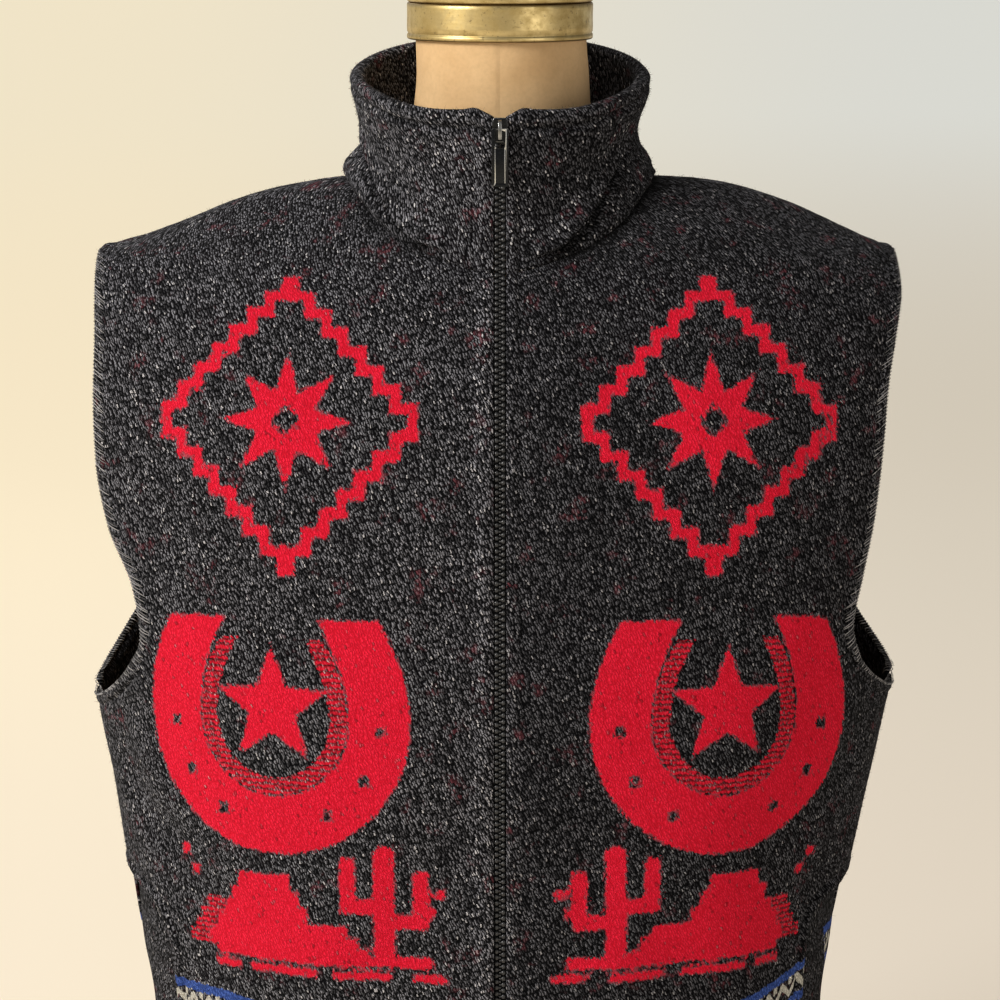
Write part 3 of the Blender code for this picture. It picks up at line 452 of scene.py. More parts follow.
def star(s, t, centre, radius, waist, tips):
    wedge = math.pi / tips
    angle = np.arctan2(s - centre[0], t - centre[1])
    folded = np.abs((angle + wedge) % (2 * wedge) - wedge)
    reach = np.hypot(s - centre[0], t - centre[1])
    px, py = reach * np.cos(folded), reach * np.sin(folded)
    valley = np.array([waist * math.cos(wedge), waist * math.sin(wedge)])
    edge = valley - np.array([radius, 0.0])
    inward = np.array([-edge[1], edge[0]]) / np.linalg.norm(edge)
    inward *= -np.sign(radius * inward[0])
    return (px - radius) * inward[0] + py * inward[1]


def stepped_diamond(s, t, centre, half_width, half_height, steps):
    found = np.full(np.shape(s), -1.0)
    for step in range(steps):
        share = (step + 0.5) / steps
        wide, tall = half_width * (1 - share), half_height * (share + 0.5 / steps)
        found = np.maximum(found, block(s, t, centre, wide, tall))
    return found


def outline(inside, width):
    return np.minimum(inside, width - inside)


def horseshoe(s, t, centre, radius, half_wall, leg):
    across, up = np.abs(s - centre[0]), t - centre[1]
    ring = half_wall - np.abs(np.hypot(across, np.minimum(up, 0)) - radius)
    drawn_in = radius - 0.30 * up**2 / leg
    legs = np.minimum(half_wall - np.abs(across - drawn_in), leg - up)
    return np.where(up < 0, ring, legs)


def nails(s, t, centre, radius, size):
    """Square nail holes round the horseshoe's arch."""
    found = np.full(np.shape(s), -1.0)
    for degrees in (-150, -122, -94, 94, 122, 150):
        angle = math.radians(degrees)
        hole = (centre[0] + radius * math.sin(angle), centre[1] + radius * math.cos(angle))
        found = np.maximum(found, block(s, t, hole, size, size))
    return found


def saguaro(s, t, foot, height, half_wall):
    """A cactus of one trunk and two bent arms."""
    trunk_top = foot[1] + height
    found = block(s, t, (foot[0], foot[1] + height / 2), half_wall, height / 2)
    found = np.maximum(found, disc(s, t, (foot[0], trunk_top), half_wall))
    for way, low, high in ((-1, 0.36, 0.78), (1, 0.50, 0.90)):
        arm = foot[0] + way * half_wall * 3.6
        level = foot[1] + height * low
        tip = foot[1] + height * high
        elbow = block(s, t, ((foot[0] + arm) / 2, level), half_wall * 2.3, half_wall * 0.75)
        upright = block(s, t, (arm, (level + tip) / 2), half_wall * 0.75, (tip - level) / 2 + half_wall * 0.7)
        found = np.maximum(found, np.maximum(elbow, upright))
    return found


def mesa(s, t, foot, half_width, height, steps):
    """A flat-topped hill in steps."""
    found = np.full(np.shape(s), -1.0)
    for step in range(steps):
        share = step / steps
        wide, tall = half_width * (1 - 0.72 * share), height * (step + 1) / steps
        found = np.maximum(found, block(s, t, (foot[0], foot[1] + tall / 2), wide, tall / 2))
    return found


DIAMOND_AT, DIAMOND_HALF_WIDTH, DIAMOND_HALF_HEIGHT = (0.128, 0.604), 0.085, 0.092
SHOE_AT, SHOE_RADIUS, SHOE_HALF_WALL, SHOE_LEG = (0.138, 0.424), 0.066, 0.0185, 0.062
GROUND_T = 0.262


def motifs(s, t):
    """Signed distances of the solid red and of the mixed red-and-charcoal weave on a front."""
    diamond = stepped_diamond(s, t, DIAMOND_AT, DIAMOND_HALF_WIDTH, DIAMOND_HALF_HEIGHT, 8)
    red = outline(diamond, 0.0062)
    burst = star(s, t, DIAMOND_AT, 0.040, 0.0185, 8)
    burst = np.minimum(burst, -stepped_diamond(s, t, DIAMOND_AT, 0.0095, 0.0095, 3))
    red = np.maximum(red, burst)
    shoe = horseshoe(s, t, SHOE_AT, SHOE_RADIUS, SHOE_HALF_WALL, SHOE_LEG)
    shoe = np.minimum(shoe, -nails(s, t, SHOE_AT, SHOE_RADIUS + 0.001, 0.0034))
    red = np.maximum(red, shoe)
    red = np.maximum(red, star(s, t, (SHOE_AT[0], SHOE_AT[1] + 0.008), 0.037, 0.0155, 5))
    red = np.maximum(red, saguaro(s, t, (0.070, GROUND_T + 0.014), 0.066, 0.0062))
    red = np.maximum(red, mesa(s, t, (0.146, GROUND_T + 0.014), 0.040, 0.050, 5))
    red = np.maximum(red, mesa(s, t, (0.106, GROUND_T + 0.012), 0.026, 0.022, 3))
    red = np.maximum(red, block(s, t, (0.110, GROUND_T + 0.012), 0.070, 0.0036))
    for at, half in ((0.042, 0.011), (0.084, 0.018), (0.134, 0.022), (0.172, 0.009)):
        red = np.maximum(red, block(s, t, (at, GROUND_T + 0.0025), half, 0.0024))
    for at in ((0.042, 0.306), (0.036, 0.318), (0.049, 0.319), (0.196, 0.322), (0.204, 0.334)):
        red = np.maximum(red, block(s, t, at, 0.0034, 0.0030))
    mixed = mesa(s, t, (0.178, GROUND_T + 0.014), 0.022, 0.030, 4)
    inner = horseshoe(s, t, SHOE_AT, SHOE_RADIUS - 0.0245, 0.0055, SHOE_LEG * 0.8)
    mixed = np.maximum(mixed, inner)
    return red, mixed


# Soft folds: from (s0, t0) to (s1, t1) in cloth metres, out from the centre line and up. A
# negative depth is a trough and a positive one a ridge.
Fold = namedtuple("Fold", "s0 t0 s1 t1 width depth")
FRONT_FOLDS = {
    LEFT: [
        Fold(0.262, 0.398, 0.190, 0.330, 0.012, -0.0022),
        Fold(0.246, 0.368, 0.150, 0.292, 0.015, -0.0016),
        Fold(0.235, 0.450, 0.205, 0.340, 0.013, 0.0014),
        Fold(0.090, 0.700, 0.200, 0.690, 0.016, -0.0016),
        Fold(0.055, 0.660, 0.125, 0.560, 0.019, -0.0014),
        Fold(0.120, 0.260, 0.150, 0.120, 0.017, -0.0022),
        Fold(0.050, 0.330, 0.062, 0.110, 0.020, -0.0016),
        Fold(0.185, 0.240, 0.176, 0.100, 0.014, 0.0016),
        Fold(0.195, 0.600, 0.205, 0.500, 0.018, -0.0013),
        Fold(0.017, 0.560, 0.021, 0.380, 0.009, -0.0009),
    ],
    RIGHT: [
        Fold(0.250, 0.410, 0.165, 0.345, 0.013, -0.0020),
        Fold(0.240, 0.375, 0.175, 0.270, 0.016, -0.0018),
        Fold(0.222, 0.470, 0.200, 0.380, 0.014, 0.0015),
        Fold(0.100, 0.704, 0.190, 0.680, 0.015, -0.0017),
        Fold(0.048, 0.655, 0.110, 0.545, 0.018, -0.0015),
        Fold(0.095, 0.300, 0.110, 0.110, 0.019, -0.0020),
        Fold(0.160, 0.255, 0.150, 0.105, 0.015, 0.0015),
        Fold(0.034, 0.420, 0.040, 0.240, 0.014, -0.0011),
        Fold(0.186, 0.620, 0.192, 0.520, 0.020, -0.0012),
    ],
}
BACK_FOLDS = {
    LEFT: [
        Fold(0.250, 0.400, 0.120, 0.360, 0.016, -0.0024),
        Fold(0.235, 0.350, 0.090, 0.300, 0.018, -0.0018),
        Fold(0.100, 0.300, 0.115, 0.110, 0.020, -0.0024),
        Fold(0.040, 0.690, 0.070, 0.500, 0.022, -0.0016),
        Fold(0.180, 0.640, 0.200, 0.480, 0.018, 0.0014),
        Fold(0.020, 0.260, 0.030, 0.105, 0.020, 0.0018),
    ],
    RIGHT: [
        Fold(0.245, 0.405, 0.130, 0.345, 0.015, -0.0022),
        Fold(0.228, 0.340, 0.070, 0.315, 0.019, -0.0018),
        Fold(0.130, 0.290, 0.125, 0.105, 0.019, -0.0022),
        Fold(0.055, 0.680, 0.080, 0.520, 0.021, -0.0015),
        Fold(0.172, 0.650, 0.185, 0.470, 0.019, 0.0013),
    ],
}


FOLD_SHARE = {FRONT: 1.0, BACK: 1.5}


def fold_relief(s, t, folds):
    """Height of the soft folds over the plain surface."""
    found = np.zeros(np.broadcast_shapes(np.shape(s), np.shape(t)))
    for fold in folds:
        run = np.array([fold.s1 - fold.s0, fold.t1 - fold.t0])
        length = np.linalg.norm(run)
        run /= length
        along = ((s - fold.s0) * run[0] + (t - fold.t0) * run[1]) / length
        bow = 0.10 * length * np.sin(math.pi * np.clip(along, 0, 1))
        off = (s - fold.s0) * -run[1] + (t - fold.t0) * run[0] - bow
        taper = smooth_step((along + 0.15) / 0.45) * smooth_step((1.15 - along) / 0.45)
        q = off / fold.width
        shape = np.exp(-(q**2)) - 0.42 * np.exp(-((np.abs(q) - 1.9) ** 2) / 0.7)
        found += fold.depth * taper * shape
    return found


def drape_noise(s, t, seed, size, height):
    """A few broad, uneven waves of the cloth."""
    rng = np.random.default_rng(seed)
    found = np.zeros(np.broadcast_shapes(np.shape(s), np.shape(t)))
    for _ in range(10):
        angle = rng.uniform(-0.7, 0.7)
        length = size * rng.uniform(0.6, 1.6)
        phase, swing = rng.uniform(0, 2 * math.pi), rng.uniform(0.5, 1.0)
        wander = 0.9 * np.sin(2 * math.pi * t / (2.3 * length) + rng.uniform(0, 6.28))
        along = s * math.cos(angle) + t * math.sin(angle)
        found += swing * np.sin(2 * math.pi * along / length + phase + wander)
    return found * height / 4


def nap_noise(shape, seed, height):
    """Small unevenness of the fulled wool from point to point."""
    return np.random.default_rng(seed).normal(0.0, height, shape)


# Edge finish of the blanket wool: distances in from an edge
TURNED_EDGE = 0.0075
ZIP_STITCH = {LEFT: 0.0135, RIGHT: 0.0085}
HEM_STITCH = 0.016
POCKET_STITCH = 0.0085
EDGE_SWELL, STITCH_SINK = 0.0010, 0.0011
ZIP_EDGE_SHARE = 1.5


def stitched_edge(distance, reach):
    """A swollen edge with a sunk line of stitches along its inner side."""
    swell = EDGE_SWELL * bump(distance, reach * 0.45, reach * 0.55)
    return swell - STITCH_SINK * bump(distance, reach, 0.0024)


def panel_edges(points, rows_low, rows_arm):
    """The named border lines of a half panel's grid."""
    edges = {"hem": points[0], "neck": points[-1], "centre": points[:, 0]}
    edge = points[:, -1]
    pocket_end = int(np.searchsorted(edge[:rows_low, 2], POCKET_TOP_Z - 1e-5)) + 1
    edges["pocket"] = edge[:pocket_end]
    edges["side"] = edge[pocket_end - 1 : rows_low]
    edges["armhole"] = edge[rows_low - 1 : rows_low + rows_arm]
    edges["shoulder"] = edge[rows_low + rows_arm - 1 :]
    return edges


# How much closer the columns of a front stand towards the armhole than at the zip
OUTER_CROWDING = {LEFT: 0.2, RIGHT: 0.5}
# Rough length of a half panel's row, which sets its number of columns
ROW_LENGTH = 0.30


def half_panel(side, face, first_x, pitch):
    """The fine outer surface of half a front or back, with its cloth coordinates and relief."""
    shares = steps_between(0.0, 1.0, pitch / ROW_LENGTH)
    if face == FRONT:
        shares += OUTER_CROWDING[side] * (np.sin(shares * math.pi / 2) - shares)
    lips = np.array(LIP_STEPS) / ROW_LENGTH
    ends = [1 - lips] if face == BACK else [lips, 1 - lips]
    shares = np.unique(np.concatenate([shares, *ends]))
    turn, z = panel_grid(side, face, shares, first_x, pitch)
    points = body_point(side, face, turn, z)
    if face == FRONT:
        points[:, 0, 0] = side * first_x
    normal = grid_normals(points, from_axis(points, OUTWARD_RISE))
    normal[:, 0, 0] = 0.0
    normal /= np.linalg.norm(normal, axis=-1, keepdims=True)
    s = run_along(points, 1, [0, 1]) + first_x
    t = height_on_cloth(side, face, points)
    rows_low = len(lower_rows(side, face, pitch)[0])
    rows_arm = len(steps_between(CENTRE_UNDERARM_Z, CENTRE_TIP_Z[face], pitch)) - 1
    lines = panel_edges(points, rows_low, rows_arm)
    away = {name: distance_to_line(points, line) for name, line in lines.items()}
    folds = (FRONT_FOLDS if face == FRONT else BACK_FOLDS)[side]
    free = smooth_step(np.minimum.reduce([away["armhole"], away["neck"], away["shoulder"]]) / 0.03)
    relief = fold_relief(s, t, folds) * free * FOLD_SHARE[face]
    seed = 11 + 2 * face + side
    relief += drape_noise(s, t, seed, 0.11, 0.0011) * free
    relief += stitched_edge(away["armhole"], TURNED_EDGE) * smooth_step(away["side"] / 0.03)
    relief += stitched_edge(away["hem"], HEM_STITCH)
    relief -= 0.0008 * bump(away["side"], 0.0, 0.004)
    relief -= 0.0005 * bump(away["shoulder"], 0.0, 0.004)
    relief -= 0.0010 * bump(away["neck"], 0.0, 0.009)
    borders = [away["hem"], away["armhole"] + 0.002 * bump(away["side"], 0.0, 0.007), away["pocket"]]
    if face == FRONT:
        relief += stitched_edge(away["centre"], ZIP_STITCH[side]) * ZIP_EDGE_SHARE
        relief += stitched_edge(away["pocket"], POCKET_STITCH)
        borders.append(away["centre"])
    nearest = np.minimum.reduce(borders)
    seams = np.minimum.reduce([away["neck"], away["side"], away["shoulder"], nearest])
    relief += nap_noise(s.shape, seed + 50, 0.00009) * smooth_step(seams / 0.004)
    return points, normal, side * s, t, relief, nearest, away


# A signed distance well outside each woven motif
NO_WEAVE = -0.05


def lip_share(nearest):
    """Thickness of the wall towards a rounded edge, as a share of the whole."""
    q = np.clip(nearest / (WALL / 2), 0, 1)
    return LIP_THINNEST + (1 - LIP_THINNEST) * np.sqrt(1 - (1 - q) ** 2)


def shell_quads(rows, columns):
    """Quads of a closed wall between two grids, the outer one first."""
    index = np.arange(rows * columns).reshape(rows, columns)
    outer = np.stack([index[:-1, :-1], index[:-1, 1:], index[1:, 1:], index[1:, :-1]], axis=-1)
    outer = outer.reshape(-1, 4)
    inner = outer[:, ::-1] + rows * columns
    border = np.concatenate([index[0, :-1], index[:-1, -1], index[-1, :0:-1], index[:0:-1, 0]])
    there = np.roll(border, -1)
    rim = np.stack([there, border, border + rows * columns, there + rows * columns], axis=-1)
    return np.concatenate([outer, inner, rim])


def ring_quads(rings, size, closed_rings=False):
    """Quads between closed rings of the same size."""
    index = np.arange(rings * size).reshape(rings, size)
    low = index if closed_rings else index[:-1]
    high = np.roll(index, -1, axis=0) if closed_rings else index[1:]
    quads = np.stack([low, np.roll(low, -1, axis=1), np.roll(high, -1, axis=1), high], axis=-1)
    return quads.reshape(-1, 4)


def capped_quads(rings, size):
    """Quads between rings, closed over the first and the last ring's middle."""
    step = np.arange(size // 2 - 1)
    cap = np.stack([step, step + 1, size - 2 - step, size - 1 - step], axis=-1)
    return np.concatenate([ring_quads(rings, size), cap, cap + (rings - 1) * size])


def volume(points, quads):
    a, b, c, d = (points[quads[:, corner]] for corner in range(4))
    first = np.einsum("ij,ij->i", a, np.cross(b, c))
    return float((first + np.einsum("ij,ij->i", a, np.cross(c, d))).sum()) / 6


def make_mesh(name, points, quads, uv=None, marks=None):
    """A smooth mesh of quads, facing out, with a UV and float values at its points."""
    points = np.ascontiguousarray(points, dtype=np.float64)
    quads = np.ascontiguousarray(quads, dtype=np.int32)
    if volume(points, quads) < 0:
        quads = np.ascontiguousarray(quads[:, ::-1])
    mesh = bpy.data.meshes.new(name)
    mesh.vertices.add(len(points))
    mesh.vertices.foreach_set("co", points.astype(np.float32).ravel())
    mesh.loops.add(quads.size)
    mesh.loops.foreach_set("vertex_index", quads.ravel())
    mesh.polygons.add(len(quads))
    mesh.polygons.foreach_set("loop_start", np.arange(0, quads.size, 4, dtype=np.int32))
    mesh.update(calc_edges=True)
    mesh.shade_smooth()
    if uv is not None:
        layer = mesh.uv_layers.new(name="cloth")
        layer.uv.foreach_set("vector", np.asarray(uv, np.float32)[quads.ravel()].ravel())
    for mark, values in (marks or {}).items():
        attribute = mesh.attributes.new(mark, "FLOAT", "POINT")
        attribute.data.foreach_set("value", np.asarray(values, np.float32).ravel())
    return mesh


def new_object(name, data):
    thing = bpy.data.objects.new(name, data)
    bpy.context.scene.collection.objects.link(thing)
    return thing


def add_piece(mesh, finish, body=ROOT_BODY):
    piece = new_object(mesh.name, mesh)
    mesh.materials.append(finish)
    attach(piece, body)
    return piece


def shell_mesh(name, outer, inner, s, t, marks):
    """A closed wall between two grids. Each mark has its values outside and inside."""
    points = np.concatenate([outer.reshape(-1, 3), inner.reshape(-1, 3)])
    uv = np.stack([s, t], axis=-1).reshape(-1, 2)
    marks = {mark: np.append(*pair) for mark, pair in marks.items()}
    return make_mesh(name, points, shell_quads(*s.shape), np.concatenate([uv, uv]), marks)


def cloth_mesh(name, parts, marks):
    """A shell from its outer points, normals, relief and distance to its nearest edge."""
    points, normal, s, t, relief, nearest = parts
    share = lip_share(nearest)[..., None]
    middle = points + (relief[..., None] - WALL / 2) * normal
    outer = middle + share * WALL / 2 * normal
    inner = middle - share * WALL / 2 * normal
    pairs = {mark: (values, np.full(s.size, NO_WEAVE)) for mark, values in marks.items()}
    # The inner faces carry a mark for painted shade.
    pairs["inside"] = (np.zeros(s.size), np.ones(s.size))
    return shell_mesh(name, outer, inner, s, t, pairs), outer


def grid_area(points):
    a, b, c, d = points[:-1, :-1], points[:-1, 1:], points[1:, 1:], points[1:, :-1]
    first = np.linalg.norm(np.cross(b - a, c - a), axis=-1)
    second = np.linalg.norm(np.cross(c - a, d - a), axis=-1)
    return float((first + second).sum()) / 2


# Wool fuzz
Hair = namedtuple("Hair", "shortest longest thick")
FUZZ = Hair(0.0008, 0.0030, 0.00008)
FUZZ_COUNT = {"front": 13500, "back": 10000, "collar": 6500}


def hair_points(roots, normals, seed):
    """Two small rings of three points for each hair."""
    rng = np.random.default_rng(seed)
    count = len(roots)
    length = rng.uniform(FUZZ.shortest, FUZZ.longest, count) * rng.uniform(0.4, 1.0, count)
    lean = rng.normal(size=(count, 3))
    lean -= np.sum(lean * normals, axis=1, keepdims=True) * normals
    lean /= np.linalg.norm(lean, axis=1, keepdims=True)
    rise = rng.uniform(0.25, 0.98, count)[:, None]
    way = normals * rise + lean * np.sqrt(1 - rise**2)
    side = np.cross(way, normals + 0.3 * lean + 0.01)
    side /= np.linalg.norm(side, axis=1, keepdims=True)
    other = np.cross(way, side)
    rings = []
    for reach, width in ((-0.0002, 1.0), (1.0, 0.45)):
        place = roots + way * (length[:, None] * reach if reach > 0 else reach)
        for turn in range(3):
            angle = 2 * math.pi * turn / 3
            offset = side * math.cos(angle) + other * math.sin(angle)
            rings.append(place + offset * FUZZ.thick * width)
    return np.stack(rings, axis=1)


def add_fuzz(name, outer, count, seed, red=None, finish=None):
    """Short fibres that stand off a grid of outer points."""
    rng = np.random.default_rng(seed)
    a, b, d = outer[:-1, :-1], outer[:-1, 1:], outer[1:, :-1]
    cross = np.cross(b - a, d - a)
    area = np.linalg.norm(cross, axis=-1)
    picked = rng.choice(area.size, count, p=(area / area.sum()).ravel())
    row, col = np.unravel_index(picked, area.shape)
    u, v = rng.random(count)[:, None], rng.random(count)[:, None]
    roots = a[row, col] + u * (b - a)[row, col] + v * (d - a)[row, col]
    normals = cross[row, col] / area[row, col][:, None]
    normals *= np.sign(np.sum(normals * from_axis(roots, OUTWARD_RISE), axis=1, keepdims=True))
    points = hair_points(roots, normals, seed + 1)
    base = np.arange(count)[:, None, None] * 6
    ring = np.array([[0, 1, 4, 3], [1, 2, 5, 4], [2, 0, 3, 5]])
    quads = (base + ring[None]).reshape(-1, 4)
    tint = np.zeros(count) if red is None else (red[row, col] > 0).astype(float)
    shade = rng.random(count)
    marks = {"tint": np.repeat(tint, 6), "shade": np.repeat(shade, 6)}
    mesh = make_mesh(name, points.reshape(-1, 3), quads, marks=marks)
    return add_piece(mesh, finish)


# Materials
class Value:
    """An output of a node, which takes part in sums and products."""

    def __init__(self, nodes, socket):
        self.nodes, self.socket = nodes, socket

    def other(self, output):
        """Another output of the same node."""
        return Value(self.nodes, self.socket.node.outputs[output])

    def __add__(self, other):
        return self.nodes.math("ADD", self, other)

    def __sub__(self, other):
        return self.nodes.math("SUBTRACT", self, other)

    def __rsub__(self, other):
        return self.nodes.math("SUBTRACT", other, self)

    def __mul__(self, other):
        return self.nodes.math("MULTIPLY", self, other)

    def __truediv__(self, other):
        return self.nodes.math("DIVIDE", self, other)

    def __abs__(self):
        return self.nodes.math("ABSOLUTE", self)

    def at_least(self, other):
        return self.nodes.math("MAXIMUM", self, other)

    def zigzag(self, pitch):
        """Rises from 0 to half the pitch and falls again, once in each pitch."""
        return self.nodes.math("PINGPONG", self, pitch / 2)

    def sine(self, pitch):
        return self.nodes.math("SINE", self * (2 * math.pi / pitch))


class Nodes:
    """Short ways to write a material's node tree."""

    def __init__(self, name):
        self.material = bpy.data.materials.new(name)
        self.material.use_nodes = True
        self.tree = self.material.node_tree
        self.shader = self.tree.nodes["Principled BSDF"]

    def put(self, socket, value):
        if isinstance(value, Value):
            self.tree.links.new(value.socket, socket)
        elif isinstance(value, tuple) and socket.type == "RGBA":
            socket.default_value = (*value, 1.0)
        else:
            socket.default_value = value

    def node(self, kind, inputs=None, output=0, **settings):
        made = self.tree.nodes.new(kind)
        for key, value in settings.items():
            setattr(made, key, value)
        for key, value in (inputs or {}).items():
            self.put(made.inputs[key], value)
        return Value(self, made.outputs[output])

    def math(self, operation, first, second=0.0):
        return self.node("ShaderNodeMath", {0: first, 1: second}, operation=operation)

    def mix(self, share, first, second):
        return self.node("ShaderNodeMix", {0: share, 6: first, 7: second}, 2, data_type="RGBA")

    def step(self, value, low, high, to_low=0.0, to_high=1.0):
        inputs = {0: value, 1: low, 2: high, 3: to_low, 4: to_high}
        return self.node("ShaderNodeMapRange", inputs, interpolation_type="SMOOTHSTEP")

    def noise(self, vector, scale, detail=2.0, roughness=0.5):
        inputs = {"Vector": vector, "Scale": scale, "Detail": detail, "Roughness": roughness}
        return self.node("ShaderNodeTexNoise", inputs, "Fac")

    def attribute(self, name):
        return self.node("ShaderNodeAttribute", None, "Fac", attribute_name=name)

    def cloth_place(self):
        return self.node("ShaderNodeUVMap", uv_map="cloth")

    def object_place(self):
        return self.node("ShaderNodeTexCoord", None, "Object")

    def separate(self, vector):
        first = self.node("ShaderNodeSeparateXYZ", {0: vector})
        return [first.other(index) for index in range(3)]

    def combine(self, x, y, z=0.0):
        return self.node("ShaderNodeCombineXYZ", {0: x, 1: y, 2: z})

    def bump(self, height, distance, strength):
        inputs = {"Height": height, "Distance": distance, "Strength": strength}
        return self.node("ShaderNodeBump", inputs)

    def finish(self, **values):
        for key, value in values.items():
            self.put(self.shader.inputs[key.replace("_", " ")], value)
        return self.material


# Woven look, in cloth metres
DASH_WIDTH, DASH_LENGTH, DASH_LEAN = 0.00150, 0.0024, 24.0
CHARCOAL_DARK = (0.0016, 0.0016, 0.0021)
CHARCOAL_GREY = (0.292, 0.292, 0.326)
SHADED = (0.001, 0.001, 0.001)
FLECK = (0.74, 0.72, 0.74)
STRAY_RED, BLURRED_RED = (0.19, 0.045, 0.060), (0.33, 0.060, 0.085)
RED_DARK, RED_LIGHT = (0.48, 0.006, 0.018), (0.93, 0.020, 0.058)
BLUE_DARK, BLUE_LIGHT = (0.012, 0.028, 0.125), (0.075, 0.145, 0.50)
CREAM_DARK, CREAM_LIGHT = (0.30, 0.29, 0.25), (0.72, 0.70, 0.63)
EDGE_JITTER, EDGE_FRAY = 0.0020, 0.0022
MIXED_PITCH = 0.0034
# Height of the border's upper edge at places out from the centre line
BORDER_PLACES = (0.0, 0.08, 0.15, 0.177, 0.2168, 0.30)
BORDER_TOP_Z = {
    (LEFT, FRONT): (0.2365, 0.2372, 0.2400, 0.2450, 0.2460, 0.2470),
    (RIGHT, FRONT): (0.2360, 0.2370, 0.2395, 0.2465, 0.2590, 0.2670),
    (RIGHT, BACK): (0.2540, 0.2545, 0.2560, 0.2570, 0.2600, 0.2660),
}
BORDER_STRIPE, BORDER_TEETH, TOOTH_PITCH = 0.0058, 0.0150, 0.0135
TOOTH_SLOPE, TOOTH_HALF_WALL, PEG_HALF_WIDTH, PEG_LENGTH = 1.25, 0.0027, 0.0016, 0.0045


def border_drop(side, face, s, z):
    """Distance below the border's upper edge."""
    return np.interp(s, BORDER_PLACES, BORDER_TOP_Z[side, face]) - z


def weave_coordinates(nodes, uv):
    """Coordinates in which one dash of the wool's surface is one unit across and along."""
    u, v, _ = nodes.separate(uv)
    cos, sin = math.cos(math.radians(DASH_LEAN)), math.sin(math.radians(DASH_LEAN))
    across = u * (cos / DASH_WIDTH) + v * (sin / DASH_WIDTH)
    along = u * (-sin / DASH_LENGTH) + v * (cos / DASH_LENGTH)
    wander, sway = nodes.noise(uv, 330.0), nodes.noise(uv, 210.0)
    bend = nodes.combine(wander * 1.5, sway * 1.3)
    return nodes.node("ShaderNodeVectorMath", {0: nodes.combine(across, along), 1: bend})


def span(nodes, value, low, high, soft=0.0003):
    """1 between two values, with soft ends."""
    return nodes.step(value, low - soft, low + soft) * nodes.step(value, high + soft, high - soft)


def woven_red(nodes, colour, red, lot, v, jitter, frayed):
    """The solid and the mixed red areas, with a blurred edge."""
    inside = nodes.attribute("red") + frayed
    speck = nodes.step(lot[2], 0.95, 0.98) * 0.45
    solid = nodes.step(inside, -0.0005, 0.0005) * (1.0 - speck)
    stripe = (v + jitter * 0.7).zigzag(MIXED_PITCH)
    stripe = nodes.step(stripe, MIXED_PITCH * 0.16, MIXED_PITCH * 0.30, 0.25, 0.95)
    mixed = nodes.step(nodes.attribute("mixed") + frayed, -0.0005, 0.0006)
    mixed = mixed * (stripe * nodes.step(lot[1], 0.0, 0.5, 0.45, 1.0))
    colour = nodes.mix(solid.at_least(mixed), colour, red)
    blur = nodes.step(abs(inside + 0.0002), 0.0011, 0.0002)
    return nodes.mix(blur * nodes.step(lot[2], 0.2, 0.8, 0.1, 0.7), colour, BLURRED_RED)


def woven_border(nodes, colour, blue, cream, u, frayed):
    """Two blue stripes with a zigzag and pegs in cream between them."""
    drop = nodes.attribute("drop") + frayed * 0.7
    whole = 2 * BORDER_STRIPE + BORDER_TEETH
    upper = span(nodes, drop, 0.0, BORDER_STRIPE)
    lower = span(nodes, drop, whole - BORDER_STRIPE, whole)
    colour = nodes.mix(upper.at_least(lower), colour, blue)
    wave = (u.zigzag(TOOTH_PITCH) - TOOTH_PITCH / 4) * TOOTH_SLOPE
    lift = abs(drop - (BORDER_STRIPE + BORDER_TEETH / 2) - wave)
    tooth = nodes.step(lift, TOOTH_HALF_WALL + 0.0003, TOOTH_HALF_WALL - 0.0003)
    beside = (u + TOOTH_PITCH / 2).zigzag(TOOTH_PITCH)
    peg = nodes.step(beside, PEG_HALF_WIDTH + 0.0003, PEG_HALF_WIDTH - 0.0003)
    peg = peg * span(nodes, drop, BORDER_STRIPE, BORDER_STRIPE + PEG_LENGTH)
    band = span(nodes, drop, BORDER_STRIPE, BORDER_STRIPE + BORDER_TEETH)
    return nodes.mix(tooth.at_least(peg) * band, colour, cream)


